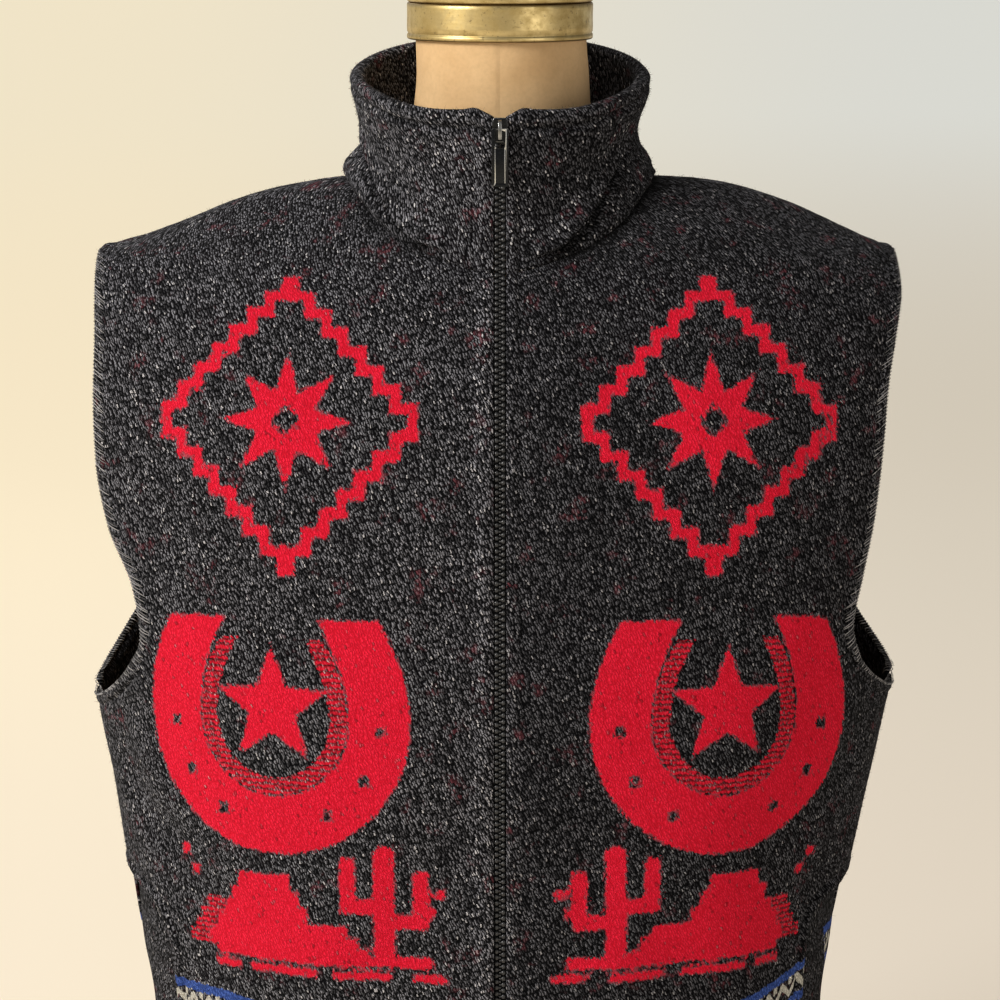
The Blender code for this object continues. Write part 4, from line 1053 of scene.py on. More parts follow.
def wool_material(name, border=False, motif=False, grey=1.0, right_painted_shade=1.0):
    """Charcoal blanket wool. Its right side can be darker by the given share, and the copies for the
    right-hand pieces take a lower grey: both are painted shade of the side turned away from the key lamp.
    """
    nodes = Nodes(name)
    uv = nodes.cloth_place()
    u, v, _ = nodes.separate(uv)
    warp = weave_coordinates(nodes, uv)
    inputs = {"Vector": warp, "Scale": 1.0, "Randomness": 0.72}
    cells = nodes.node("ShaderNodeTexVoronoi", inputs, voronoi_dimensions="2D")
    inputs = {0: warp, 1: cells.other("Position")}
    off = nodes.node("ShaderNodeVectorMath", inputs, operation="SUBTRACT")
    across, along, _ = nodes.separate(off)
    dash = nodes.step(abs(across), 0.38, 0.14) * nodes.step(abs(along), 0.56, 0.26)
    first = nodes.node("ShaderNodeSeparateColor", {0: cells.other("Color")})
    lot = [first.other(index) for index in range(3)]
    fine = nodes.noise(uv, 2600.0, 3.0, 0.7)
    broad = nodes.noise(uv, 26.0, 3.0, 0.55)
    patch = nodes.noise(uv, 110.0, 3.0, 0.6)
    # Lighter tone and more flecks on the turned edge along the zip, between it and its stitch line.
    zip_edge_band = nodes.attribute("zip_edge_band")
    tone = nodes.step(lot[0], 0.05, 1.15, 0.10, 1.05) * dash.at_least(0.02)
    tone = tone * nodes.step(fine, 0.25, 0.75, 0.40, 1.45)
    tone = tone * nodes.step(patch, 0.30, 0.72, 0.72, 1.22)
    tone = tone * nodes.step(broad, 0.30, 0.70, 0.86, 1.12)
    tone = tone * nodes.step(zip_edge_band, 0.0, 1.0, 1.0, 1.35)
    # Painted shade: the wool darkens across the centre line towards the right, the side turned away from the
    # key lamp.
    if right_painted_shade < 1:
        x = nodes.separate(nodes.object_place())[0]
        tone = tone * nodes.step(x, -0.004, 0.020, 1.0, right_painted_shade)
    colour = nodes.mix(tone, CHARCOAL_DARK, tuple(channel * grey for channel in CHARCOAL_GREY))
    fleck = nodes.math("GREATER_THAN", lot[1], 0.965 - zip_edge_band * 0.06)
    fleck = fleck * nodes.step(dash, 0.25, 0.9, 0.0, 0.62)
    colour = nodes.mix(fleck, colour, tuple(channel * grey for channel in FLECK))
    strays = nodes.step(nodes.noise(uv, 48.0, 3.0, 0.6), 0.56, 0.70) * nodes.step(lot[2], 0.45, 0.75)
    strays = strays * nodes.step(dash, 0.0, 1.0, 0.25, 0.62)
    colour = nodes.mix(strays, colour, STRAY_RED)
    lively = nodes.step(dash, 0.0, 0.8, 0.28, 1.0) * nodes.step(lot[0], 0.0, 0.8, 0.42, 1.0)
    lively = lively * nodes.step(fine, 0.25, 0.7, 0.75, 1.05)
    jitter = (lot[1] - 0.5) * EDGE_JITTER
    frayed = jitter + (fine - 0.5) * EDGE_FRAY
    if motif:
        red = nodes.mix(lively, RED_DARK, RED_LIGHT)
        colour = woven_red(nodes, colour, red, lot, v, jitter, frayed)
    if border:
        blue = nodes.mix(lively, BLUE_DARK, BLUE_LIGHT)
        cream = nodes.mix(lively, CREAM_DARK, CREAM_LIGHT)
        colour = woven_border(nodes, colour, blue, cream, u, frayed)
    # Painted shade: the inner faces of the cloth, and the places given a shade mark under the collar, in the
    # collar's creases and beside the pocket edge, are darkened towards a near-black colour.
    dim = (nodes.attribute("inside") * 0.75).at_least(nodes.attribute("shade"))
    colour = nodes.mix(dim, colour, SHADED)
    height = dash * nodes.step(lot[0], 0.0, 1.0, 0.5, 1.0) + fine * 0.6
    nodes.finish(Base_Color=colour, Roughness=0.97, Normal=nodes.bump(height, 0.0008, 0.9))
    return nodes.finish(Sheen_Weight=0.012, Sheen_Roughness=0.5, Specular_IOR_Level=0.03)


def fuzz_material():
    nodes = Nodes("wool_fuzz")
    grey = nodes.step(nodes.attribute("shade"), 0.2, 1.0)
    grey = nodes.mix(grey, (0.005, 0.005, 0.006), (0.115, 0.112, 0.115))
    colour = nodes.mix(nodes.attribute("tint"), grey, (0.50, 0.018, 0.045))
    return nodes.finish(Base_Color=colour, Roughness=0.9, Specular_IOR_Level=0.1)


def thread_material():
    nodes = Nodes("wool_stitches")
    colour = nodes.step(nodes.attribute("shade"), 0.0, 0.9)
    colour = nodes.mix(colour, (0.050, 0.050, 0.052), (0.36, 0.35, 0.35))
    normal = nodes.bump(nodes.noise(nodes.object_place(), 3200.0), 0.0003, 0.8)
    return nodes.finish(Base_Color=colour, Roughness=0.9, Normal=normal, Specular_IOR_Level=0.15)


def tape_material():
    nodes = Nodes("zip_tape")
    x, _, z = nodes.separate(nodes.object_place())
    rib = (z + abs(x)).sine(0.0008)
    colour = nodes.mix(nodes.step(rib, -1.0, 1.0), (0.004, 0.004, 0.0045), (0.018, 0.018, 0.019))
    return nodes.finish(Base_Color=colour, Roughness=0.85, Normal=nodes.bump(rib, 0.0002, 0.6))


def teeth_material():
    nodes = Nodes("zip_chain")
    wear = nodes.noise(nodes.object_place(), 900.0, 3.0)
    colour = nodes.mix(wear, (0.006, 0.006, 0.007), (0.026, 0.027, 0.029))
    rough = nodes.step(wear, 0.2, 0.8, 0.30, 0.5)
    return nodes.finish(Base_Color=colour, Roughness=rough, Specular_IOR_Level=0.6)


def gunmetal_material():
    """Dark plating, with a painted highlight on its sharp edges."""
    nodes = Nodes("zip_gunmetal")
    rub = nodes.noise(nodes.object_place(), 700.0, 4.0, 0.6)
    # Painted highlight: the sharp edges, found by their pointiness, take a bright colour in place of
    # reflections on rounded edges.
    painted_edge_highlight = nodes.step(nodes.node("ShaderNodeNewGeometry", None, "Pointiness"), 0.53, 0.60)
    plated = nodes.mix(rub, (0.012, 0.013, 0.015), (0.034, 0.037, 0.040))
    colour = nodes.mix(painted_edge_highlight, plated, (0.80, 0.81, 0.80))
    nodes.finish(Base_Color=colour, Metallic=0.95, Normal=nodes.bump(rub, 0.00006, 0.5))
    return nodes.finish(Roughness=nodes.step(rub, 0.25, 0.75, 0.18, 0.32))


def form_material():
    """Tan cover cloth: fine plain weave, a seam down the centre front and one small spot."""
    nodes = Nodes("form_cover_cloth")
    place = nodes.object_place()
    u, v, _ = nodes.separate(nodes.cloth_place())
    fine = nodes.noise(place, 420.0, 3.0, 0.6)
    colour = nodes.step(nodes.noise(place, 22.0, 4.0, 0.6), 0.30, 0.70)
    colour = nodes.mix(colour, (0.58, 0.37, 0.180), (0.70, 0.475, 0.250))
    colour = nodes.mix(nodes.step(fine, 0.35, 0.75, 0.0, 0.16), colour, (0.36, 0.22, 0.11))
    seam = nodes.step(nodes.attribute("seam"), 0.0007, 0.0001)
    colour = nodes.mix(seam * 0.30, colour, (0.26, 0.15, 0.07))
    spot = nodes.step(nodes.attribute("spot") + fine * 0.0006, 0.0016, 0.0007)
    colour = nodes.mix(spot * 0.55, colour, (0.22, 0.11, 0.05))
    threads = u.sine(0.0007) * v.sine(0.0007) + fine * 1.4
    nodes.finish(Base_Color=colour, Normal=nodes.bump(threads, 0.00012, 0.6))
    return nodes.finish(Roughness=0.82, Specular_IOR_Level=0.25)


def brass_material():
    """Aged brass with stains, dark spots and a dirty rim."""
    nodes = Nodes("old_brass")
    place = nodes.object_place()
    x, y, z = nodes.separate(place)
    brushed = nodes.noise(nodes.combine(x * 60.0, y * 60.0, z * 900.0), 1.0, 3.0, 0.6)
    stain = nodes.noise(place, 90.0, 5.0, 0.65)
    spots = nodes.noise(place, 420.0, 3.0, 0.6)
    colour = nodes.mix(nodes.step(stain, 0.36, 0.66), (0.62, 0.49, 0.235), (0.45, 0.335, 0.135))
    colour = nodes.mix(nodes.step(spots, 0.58, 0.72, 0.0, 0.65), colour, (0.15, 0.10, 0.045))
    edge = nodes.step(nodes.attribute("rim"), 0.0016, 0.0002) * 0.65
    colour = nodes.mix(edge, colour, (0.16, 0.09, 0.03))
    rough = nodes.step(stain, 0.30, 0.70, 0.24, 0.46) + brushed * 0.10
    nodes.finish(Normal=nodes.bump(brushed + spots * 0.8, 0.00007, 0.6))
    return nodes.finish(Base_Color=colour, Metallic=1.0, Roughness=rough)


def wood_material():
    nodes = Nodes("base_wood")
    place = nodes.object_place()
    x, y, z = nodes.separate(place)
    wander = nodes.noise(place, 6.0, 3.0)
    along = nodes.combine(x * 5.0, (y + wander * 0.05) * 85.0, z * 60.0)
    grain = nodes.noise(along, 1.0, 5.0, 0.6)
    pores = nodes.noise(nodes.combine(x * 60.0, y * 900.0, z * 700.0), 1.0)
    colour = nodes.mix(nodes.step(grain, 0.32, 0.68), (0.060, 0.024, 0.010), (0.20, 0.092, 0.038))
    colour = nodes.mix(nodes.step(pores, 0.60, 0.72, 0.0, 0.7), colour, (0.030, 0.012, 0.006))
    rough = nodes.step(grain, 0.3, 0.7, 0.34, 0.48)
    nodes.finish(Base_Color=colour, Roughness=rough, Normal=nodes.bump(pores, 0.0002, 0.3))
    return nodes.finish(Coat_Weight=0.25, Coat_Roughness=0.2)


# Pieces
NECK_SHADE = {LEFT: 0.45, RIGHT: 0.85}


def add_front(side, finish, fuzz):
    points, normal, s, t, relief, nearest, away = half_panel(side, FRONT, ZIP_HALF_GAP, FRONT_PITCH)
    red, mixed = motifs(np.abs(s), t)
    marks = {"red": red, "mixed": mixed, "drop": border_drop(side, FRONT, np.abs(s), points[..., 2])}
    # The turned edge between the zip and its stitch line: lighter, with more flecks, in the wool's colour.
    marks["zip_edge_band"] = smooth_step((ZIP_STITCH[side] - away["centre"]) / 0.003)
    shade = NECK_SHADE[side] * smooth_step(1 - away["neck"] / 0.012)
    marks["shade"] = shade * smooth_step((np.abs(s) - 0.02) / 0.03)
    mesh, outer = cloth_mesh(f"cloth_front_{SIDES[side]}", (points, normal, s, t, relief, nearest), marks)
    piece = add_piece(mesh, finish)
    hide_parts(f"front_{SIDES[side]}")
    width, length = float(np.abs(s).max()), float(t.max() - HEM_Z)
    grid_area(outer)
    add_fuzz(f"fuzz_front_{SIDES[side]}", outer, FUZZ_COUNT["front"], 300 + side, red, fuzz)


def add_back(finish, fuzz):
    halves = [half_panel(side, BACK, 0.0, BACK_PITCH) for side in (LEFT, RIGHT)]
    rows = min(half[2].shape[0] for half in halves)
    joined = []
    for left, right in zip(halves[0][:6], halves[1][:6]):
        left, right = match_rows(left, rows), match_rows(right, rows)
        joined.append(np.concatenate([left[:, ::-1], right[:, 1:]], axis=1))
    points, normal, s, t, relief, nearest = joined
    seam_column = halves[0][2].shape[1] - 1
    relief = ease_middle(relief, seam_column)
    drop = {"drop": border_drop(RIGHT, BACK, np.abs(s), points[..., 2])}
    mesh, outer = cloth_mesh("cloth_back", (points, normal, s, t, relief, nearest), drop)
    piece = add_piece(mesh, finish)
    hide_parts("back")
    grid_area(outer)
    add_fuzz("fuzz_back", outer, FUZZ_COUNT["back"], 320, None, fuzz)


def match_rows(values, rows):
    """Reads a grid at the given number of rows, evenly in its own row numbers."""
    at = np.linspace(0, values.shape[0] - 1, rows)
    low = np.minimum(at.astype(int), values.shape[0] - 2)
    share = (at - low).reshape((-1,) + (1,) * (values.ndim - 1))
    return values[low] * (1 - share) + values[low + 1] * share


def ease_middle(relief, column):
    """Blends the relief of the two halves of the back across the centre."""
    reach = 12
    both = (relief[:, column - reach] + relief[:, column + reach]) / 2
    eased = relief.copy()
    for offset in range(-reach, reach + 1):
        share = smooth_step(1 - abs(offset) / reach)
        eased[:, column + offset] = relief[:, column + offset] * (1 - share) + both * share
    return eased


FACING_BORDER_X = {LEFT: 0.30, RIGHT: 0.2065}


def add_pocket_facing(side, finish):
    heights = steps_between(HEM_Z, FACING_TOP_Z, 0.003, lip_low=True)[:, None]
    shares = np.linspace(0.0, 1.0, 56)[None]
    edge_x = pocket_x(side, heights)
    edge_turn = np.where(heights > POCKET_TOP_Z, math.pi / 2, turn_at(side, edge_x, heights))
    first = turn_at(side, edge_x - FACING_UNDERLAP, heights)
    turn = first + shares * (math.pi / 2 - first)
    z = np.broadcast_to(heights, turn.shape)
    past_edge = (turn - edge_turn) / np.maximum(math.pi / 2 - edge_turn, 0.2)
    below_top = smooth_step((FACING_BLEND_Z - z) / 0.05)
    depth_in = FACING_DEPTH * (1 - smooth_step(past_edge) * below_top)
    points = body_point(side, FRONT, turn, z)
    normal = grid_normals(points, from_axis(points))
    s = run_along(points, 1, [0, 1]) + 0.20
    relief = drape_noise(s, z, 70 + side, 0.06, 0.0005) - 0.0005 * bump(z, HEM_Z + HEM_STITCH, 0.0022)
    outer = points + (relief - depth_in)[..., None] * normal
    inner = outer - FACING_WALL * normal
    across = np.abs(points[..., 0])
    drop = np.where(across > FACING_BORDER_X[side], border_drop(RIGHT, FRONT, 0.3, z), NO_WEAVE)
    shade = 0.7 * smooth_step(1 - (across - edge_x) / 0.006)
    marks = {"drop": (drop, drop), "shade": (shade, shade)}
    mesh = shell_mesh(f"cloth_pocket_facing_{SIDES[side]}", outer, inner, s, z, marks)
    piece = add_piece(mesh, finish)
    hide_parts(f"pocket_facing_{SIDES[side]}")
    grid_area(outer)


def even_shares(points, shares):
    run = running_length(points)
    columns = [np.interp(shares, run / run[-1], points[:, axis]) for axis in range(3)]
    return np.stack(columns, axis=-1)


def from_zip(line):
    """The part of a line round the neck that starts at the zip's edge."""
    across = np.abs(line[:, 0])
    first = int(np.argmax(across > ZIP_HALF_GAP))
    share = (ZIP_HALF_GAP - across[first - 1]) / (across[first] - across[first - 1])
    start = line[first - 1] + share * (line[first] - line[first - 1])
    return np.concatenate([[start], line[first:]])


def collar_base(side, shares):
    """The neck seam of one half, from the zip to the middle of the back."""
    dense = np.linspace(0.0, 1.0, 200)
    front = body_point(side, FRONT, *neckline(side, FRONT, dense), gap=0.0)
    back = body_point(side, BACK, *neckline(side, BACK, dense), gap=0.0)
    seam = even_shares(from_zip(np.concatenate([front, back[::-1][1:]])), shares)
    seam[:, 2] += NECK_SEAM
    return seam


def collar_top(side, shares):
    """The crest of the rolled edge of one half, from the zip to the middle of the back."""
    angle = np.linspace(0.0, math.pi, 400)
    y = -COLLAR_TOP_HALF_DEPTH * np.cos(angle)
    back_share = (1 - np.cos(angle)) / 2
    z = COLLAR_TOP_FRONT_Z + back_share * (COLLAR_TOP_BACK_Z - COLLAR_TOP_FRONT_Z)
    loop = np.stack([side * COLLAR_TOP_HALF_WIDTH * np.sin(angle), y, z], axis=-1)
    crest = even_shares(from_zip(loop), shares)
    from_edge = np.abs(crest[:, 0]) - ZIP_HALF_GAP
    near_zip = np.clip(1 - from_edge / COLLAR_NOTCH_WIDTH, 0, 1)
    shape = 0.0010 * bump(from_edge, HUMP_AT[side], 0.008) - 0.0022 * bump(from_edge, 0.045, 0.040)
    crest[:, 2] += np.where(crest[:, 1] < 0, shape - COLLAR_NOTCH_DEPTH * near_zip**2, 0)
    return crest


def collar_swell(height, angle):
    """How far the collar's wall stands out from the straight line between its two edges."""
    front, side, back = (column_curve(COLLAR, "height", name, height) for name in ("front", "side", "back"))
    facing = np.cos(angle)
    return side + np.where(facing > 0, front - side, back - side) * facing**2


# Folds of the stand collar: points of (angle from the zip in degrees, height share). Below and
# outside the line the cloth sinks, and above it stands out a little.
CollarFold = namedtuple("CollarFold", "side points width depth step")
COLLAR_FOLDS = [
    CollarFold(RIGHT, ((26, 0.06), (37, 0.16), (52, 0.33), (64, 0.42), (76, 0.49)), 0.060, -0.0056, 0.0034),
    CollarFold(LEFT, ((36, 0.05), (48, 0.13), (58, 0.21), (70, 0.28), (82, 0.36)), 0.056, -0.0054, 0.0032),
    CollarFold(RIGHT, ((20, 0.62), (58, 0.48)), 0.10, -0.0010, 0.0),
    CollarFold(LEFT, ((14, 0.52), (50, 0.66)), 0.11, -0.0010, 0.0),
    CollarFold(LEFT, ((125, 0.55), (170, 0.40)), 0.10, -0.0013, 0.0),
    CollarFold(RIGHT, ((130, 0.40), (176, 0.52)), 0.10, -0.0014, 0.0),
]


def collar_relief(side, angle, height):
    """Height of the folds and the stitch line over the collar's plain outside, and their shade."""
    found, shade = np.zeros(height.shape), np.zeros(height.shape)
    across = np.broadcast_to(angle * 0.8, height.shape)
    for fold in COLLAR_FOLDS:
        if fold.side != side:
            continue
        knots = np.array([(math.radians(degrees) * 0.8, share) for degrees, share in fold.points])
        reach = np.interp(across, knots[:, 0], knots[:, 1])
        steep = np.interp(across, knots[:-1, 0], np.diff(knots[:, 1]) / np.diff(knots[:, 0]))
        off = (height - reach) / np.sqrt(1 + steep**2)
        past = np.maximum(knots[0, 0] - across, across - knots[-1, 0])
        taper = smooth_step(1 - past / 0.24)
        q = off / fold.width
        if fold.step:
            shape = smooth_step((q + 2.4) / 2.0) * smooth_step(0.15 - q / 0.4)
        else:
            shape = np.exp(-(q**2))
        found += taper * fold.depth * shape
        found += taper * fold.step * smooth_step(q / 0.5 + 0.5) * smooth_step((3.4 - q) / 3.2)
        shade = np.maximum(shade, taper * (fold.step > 0) * 0.8 * shape)
    found -= 0.0022 * bump(height, 0.885, 0.040)
    found += 0.0006 * bump(height, 0.82, 0.05)
    if side == RIGHT:
        found -= np.sin(angle) ** 2 * (0.0030 * bump(height, 0.10, 0.16) + 0.0034 * bump(height, 0.52, 0.24))
    found += 0.0016 * np.sin(2 * np.minimum(angle, 1.57)) ** 2 * bump(height, 0.07, 0.09)
    shade = np.maximum(shade, 0.6 * bump(height, 0.885, 0.022))
    return found * smooth_step(height / 0.07), shade


COLLAR_COLUMNS, COLLAR_OUTSIDE, COLLAR_ROLL, COLLAR_INSIDE = 170, 72, 16, 26
# How far the collar's lower edge reaches over the neck seam
SeamCover = namedtuple("SeamCover", "down out")
SEAM_COVER = SeamCover(0.0012, 0.0002)


def add_collar(finish, fuzz):
    """A folded strip round the neck, with its thick soft roll at the top."""
    lips = np.array(LIP_STEPS) / 0.27
    shares = np.unique(np.concatenate([np.linspace(0.0, 1.0, COLLAR_COLUMNS), lips]))
    halves, outside, shades = [], [], []
    for side in (RIGHT, LEFT):
        base, crest = collar_base(side, shares), collar_top(side, shares)
        angle = np.arctan2(np.abs(crest[:, 0]), -crest[:, 1])
        angle[0] = 0.0
        outward = np.stack([side * np.sin(angle), -np.cos(angle), np.zeros_like(angle)], axis=-1)
        outward, angle = outward[:, None], angle[:, None]
        rise = (crest - base)[:, None]
        tall = np.linalg.norm(rise, axis=-1)
        roll = COLLAR[-1].wall / 2
        centre = 1 - roll / tall
        near_end = np.linalg.norm(base - base[0], axis=-1)[:, None]
        thin = 0.55 + 0.45 * np.sqrt(1 - (1 - np.clip(near_end / 0.0016, 0, 1)) ** 2)
        up = np.linspace(0.0, 1.0, COLLAR_OUTSIDE)[None] * centre
        lift, shade = collar_relief(side, angle, up)
        lift += drape_noise(angle * 0.09, up * 0.09, 90 + side, 0.05, 0.0006)
        lift += nap_noise(lift.shape, 95 + side, 0.00008)
        lift *= smooth_step(near_end / 0.006) * smooth_step((centre + 0.02 - up) / 0.12 + 0.15)
        lift += stitched_edge(near_end, ZIP_STITCH[side]) * smooth_step((0.86 - up) / 0.1)
        swell = collar_swell(up, angle)
        thick = column_curve(COLLAR, "height", "wall", up)
        out = base[:, None] + up[..., None] * rise + (swell + lift)[..., None] * outward
        out = out - ((1 - thin) * thick / 2)[..., None] * outward
        out[:, 0] += SEAM_COVER.out * smooth_step(near_end / 0.004) * outward[:, 0]
        out[:, 0, 2] -= SEAM_COVER.down
        roll_angle = np.linspace(0, math.pi, COLLAR_ROLL + 2)[None, 1:-1]
        level = centre + roll * np.sin(roll_angle) * (0.9 + 0.1 * thin) / tall
        puff = 1 + 0.10 * np.sin(9.0 * angle + side) + 0.06 * np.sin(23.0 * angle + 2 * side)
        offset = roll * (np.cos(roll_angle) * thin * puff**0.5 - 1)
        over = base[:, None] + level[..., None] * rise + offset[..., None] * outward
        down = np.linspace(1.0, 0.0, COLLAR_INSIDE)[None] * centre
        swell = collar_swell(down, angle)
        thick = column_curve(COLLAR, "height", "wall", down)
        wave = drape_noise(angle * 0.09, down * 0.09, 98 + side, 0.06, 0.0005)
        wave *= smooth_step((centre - down) / 0.2)
        under = base[:, None] + down[..., None] * rise + (swell - thick + wave)[..., None] * outward
        under = under + ((1 - thin) * thick / 2)[..., None] * outward
        under[:, -1, 2] -= SEAM_COVER.down
        ring = np.concatenate([out, over, under], axis=1)
        ring[-1, :, 0] = 0.0
        halves.append(ring if side == RIGHT else ring[-2::-1])
        shade = np.pad(shade, ((0, 0), (0, ring.shape[1] - shade.shape[1])))
        shades.append(shade if side == RIGHT else shade[-2::-1])
        outside.append(np.concatenate([out, over], axis=1))
    rings = np.concatenate(halves)
    run = run_along(rings, 0, [0, 1])[:, COLLAR_OUTSIDE // 2][:, None]
    up_run = run_along(rings, 1, [0, 1, 2])
    uv = np.stack([np.broadcast_to(run, up_run.shape), up_run], axis=-1).reshape(-1, 2)
    marks = {"shade": np.concatenate(shades)}
    mesh = make_mesh("cloth_collar", rings.reshape(-1, 3), capped_quads(*rings.shape[:2]), uv, marks)
    piece = add_piece(mesh, finish)
    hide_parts("collar")
    for side, grid in zip((RIGHT, LEFT), outside):
        add_fuzz(f"fuzz_collar_{SIDES[side]}", grid, FUZZ_COUNT["collar"], 330 + side, None, fuzz)


STITCH_PITCH, STITCH_LENGTH, STITCH_THICK, STITCH_SIDES = 0.0022, 0.0074, 0.00034, 5
# Rings along a stitch: share of its length, height over the cloth and share of its thickness
StitchRing = namedtuple("StitchRing", "share lift width")
STITCH_RINGS = [
    StitchRing(-0.10, -0.0012, 0.6),
    StitchRing(0.0, 0.0004, 1.0),
    StitchRing(0.25, 0.0013, 1.0),
    StitchRing(0.7, 0.0011, 1.0),
    StitchRing(1.0, 0.0003, 0.6),
]


def add_armhole_stitches(side, panels, finish):
    """Slanted whip stitches over the turned edge of one armhole, front and back."""
    rng = np.random.default_rng(40 + side)
    stitches, shades = [], []
    for points, normal, face in [(*panel, face) for panel in panels for face in (1, -1)]:
        edge = points[:, -1] - (face < 0) * WALL * normal[:, -1]
        inward = points[:, -12] - points[:, -1]
        inward /= np.linalg.norm(inward, axis=1, keepdims=True)
        run = running_length(edge)
        places = np.arange(STITCH_PITCH / 2, run[-1], STITCH_PITCH)

        def read(values):
            return np.stack([np.interp(places, run, values[:, axis]) for axis in range(3)], axis=-1)

        along = read(np.gradient(edge, axis=0))
        along /= np.linalg.norm(along, axis=1, keepdims=True)
        at, into, out = read(edge), read(inward), face * read(normal[:, -6])
        out /= np.linalg.norm(out, axis=1, keepdims=True)
        slant = rng.uniform(0.55, 0.85, len(places))[:, None]
        reach = STITCH_LENGTH * rng.uniform(0.8, 1.15, len(places))[:, None]
        made = []
        for ring in STITCH_RINGS:
            place = at + into * reach * ring.share - along * reach * slant * ring.share + out * ring.lift
            for turn in range(STITCH_SIDES):
                angle = 2 * math.pi * turn / STITCH_SIDES
                offset = out * math.cos(angle) + along * math.sin(angle)
                made.append(place + STITCH_THICK * ring.width * offset)
        stitches.append(np.stack(made, axis=1))
        shades.append(rng.random(len(places)))
    stitches = np.concatenate(stitches)
    count, size = stitches.shape[:2]
    tile = ring_quads(len(STITCH_RINGS), STITCH_SIDES)
    quads = (np.arange(count)[:, None, None] * size + tile[None]).reshape(-1, 4)
    marks = {"shade": np.repeat(np.concatenate(shades), size)}
    mesh = make_mesh(f"armhole_stitches_{SIDES[side]}", stitches.reshape(-1, 3), quads, marks=marks)
    return add_piece(mesh, finish)


def armhole_panels(side):
    """The armhole's border strips of the front and back, for the stitches on them."""
    strips = []
    for face, first_x in ((FRONT, ZIP_HALF_GAP), (BACK, 0.0)):
        shares = np.linspace(0.9, 1.0, 24)
        turn, z = panel_grid(side, face, np.concatenate([[0.0], shares]), first_x, FRONT_PITCH)
        rows_low = len(lower_rows(side, face, FRONT_PITCH)[0])
        rows_arm = len(steps_between(CENTRE_UNDERARM_Z, CENTRE_TIP_Z[face], FRONT_PITCH)) - 1
        points = body_point(side, face, turn, z)[rows_low - 1 : rows_low + rows_arm, 1:]
        strips.append((points, grid_normals(points, from_axis(points, OUTWARD_RISE))))
    return strips


# The zip
# Each ring of a tooth: distance from the chain's middle, half height, share of the full depth
TOOTH_OUTLINE = (
    (0.00345, 0.00060, 0.45), (0.00325, 0.00115, 0.75), (0.0027, 0.00150, 0.96), (0.0019, 0.00155, 1.0),
    (0.0012, 0.00130, 0.95), (0.0008, 0.00080, 0.80), (0.0004, 0.00055, 0.70), (0.0, 0.00075, 0.80),
    (-0.0004, 0.00070, 0.78), (-0.0007, 0.00035, 0.60),
)
# One side of a ring: shares of the half height and of the depth
TOOTH_SIDE = ((0.6, 0.0), (1.0, 0.25), (0.92, 0.68), (0.5, 0.96))
CHAIN_TOOTH_DEPTH, TOOTH_STEP, CHAIN_DEPTH = 0.0024, 0.00385, 0.0003
ZIP_BOTTOM_Z, ZIP_TOP_Z = 0.1050, 0.7760


def front_line():
    """(y, z) of the cloth along the centre front, hem to collar top."""
    heights = np.linspace(HEM_Z, NECK_FRONT_Z, 200)
    line = [(-float(depth(FRONT, z)) - SEAM / 2, z) for z in heights]
    base = collar_base(RIGHT, np.array([0.0, 1.0]))[0]
    crest = collar_top(RIGHT, np.array([0.0, 1.0]))[0]
    for level in np.linspace(0.05, 0.95, 12):
        at = base + level * (crest - base)
        line.append((at[1] - float(collar_swell(level, 0.0)), at[2]))
    return np.array(line)


def tooth_points():
    """One moulded tooth: a round bead on the tape's edge and a small hook towards the other column."""
    rings = []
    for x, half, front in TOOTH_OUTLINE:
        side = [(half * wide, CHAIN_TOOTH_DEPTH * front * deep) for wide, deep in TOOTH_SIDE]
        rings.append([(x, -z, y) for z, y in side] + [(x, z, y) for z, y in side[::-1]])
    return np.array(rings)


def add_zip(finish, teeth):
    line = front_line()
    run = running_length(line)
    start, end = (float(np.interp(z, line[:, 1], run)) for z in (ZIP_BOTTOM_Z, ZIP_TOP_Z))
    places = np.arange(start, end, TOOTH_STEP / 2)
    y, z = np.interp(places, run, line[:, 0]), np.interp(places, run, line[:, 1])
    dy, dz = np.interp(places + 0.001, run, line[:, 0]) - y, np.interp(places + 0.001, run, line[:, 1]) - z
    length = np.hypot(dy, dz)
    up = np.stack([np.zeros_like(y), dy / length, dz / length], axis=-1)
    out = np.stack([np.zeros_like(y), -dz / length, dy / length], axis=-1)
    tooth = tooth_points()
    size = tooth.shape[1]
    everything, quads = [], []
    tile = ring_quads(len(tooth), size)
    ends = np.array([[0, 1, 6, 7], [1, 2, 5, 6], [2, 3, 4, 5]])
    caps = np.concatenate([ends[:, ::-1], ends + (len(tooth) - 1) * size])
    tile = np.concatenate([tile, caps])
    flat = tooth.reshape(-1, 3)
    for index in range(len(places)):
        side = RIGHT if index % 2 else LEFT
        across = side * flat[:, 0]
        at = np.array([0.0, y[index], z[index]]) - out[index] * (CHAIN_TOOTH_DEPTH + CHAIN_DEPTH)
        points = at + np.outer(across, [1.0, 0.0, 0.0]) + np.outer(flat[:, 1], up[index])
        everything.append(points + np.outer(flat[:, 2], out[index]))
        quads.append((tile if side == RIGHT else tile[:, ::-1]) + index * len(flat))
    mesh = make_mesh("zip_chain_teeth", np.concatenate(everything), np.concatenate(quads))
    piece = add_piece(mesh, teeth)
    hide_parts("zip_teeth")
    for side in (LEFT, RIGHT):
        dress(f"zip_tape_{SIDES[side]}", finish)


def dress(node, finish):
    """Gives a carried-over CAD node its better material."""
    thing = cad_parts[node]
    thing.data.materials.clear()
    thing.data.materials.append(finish)


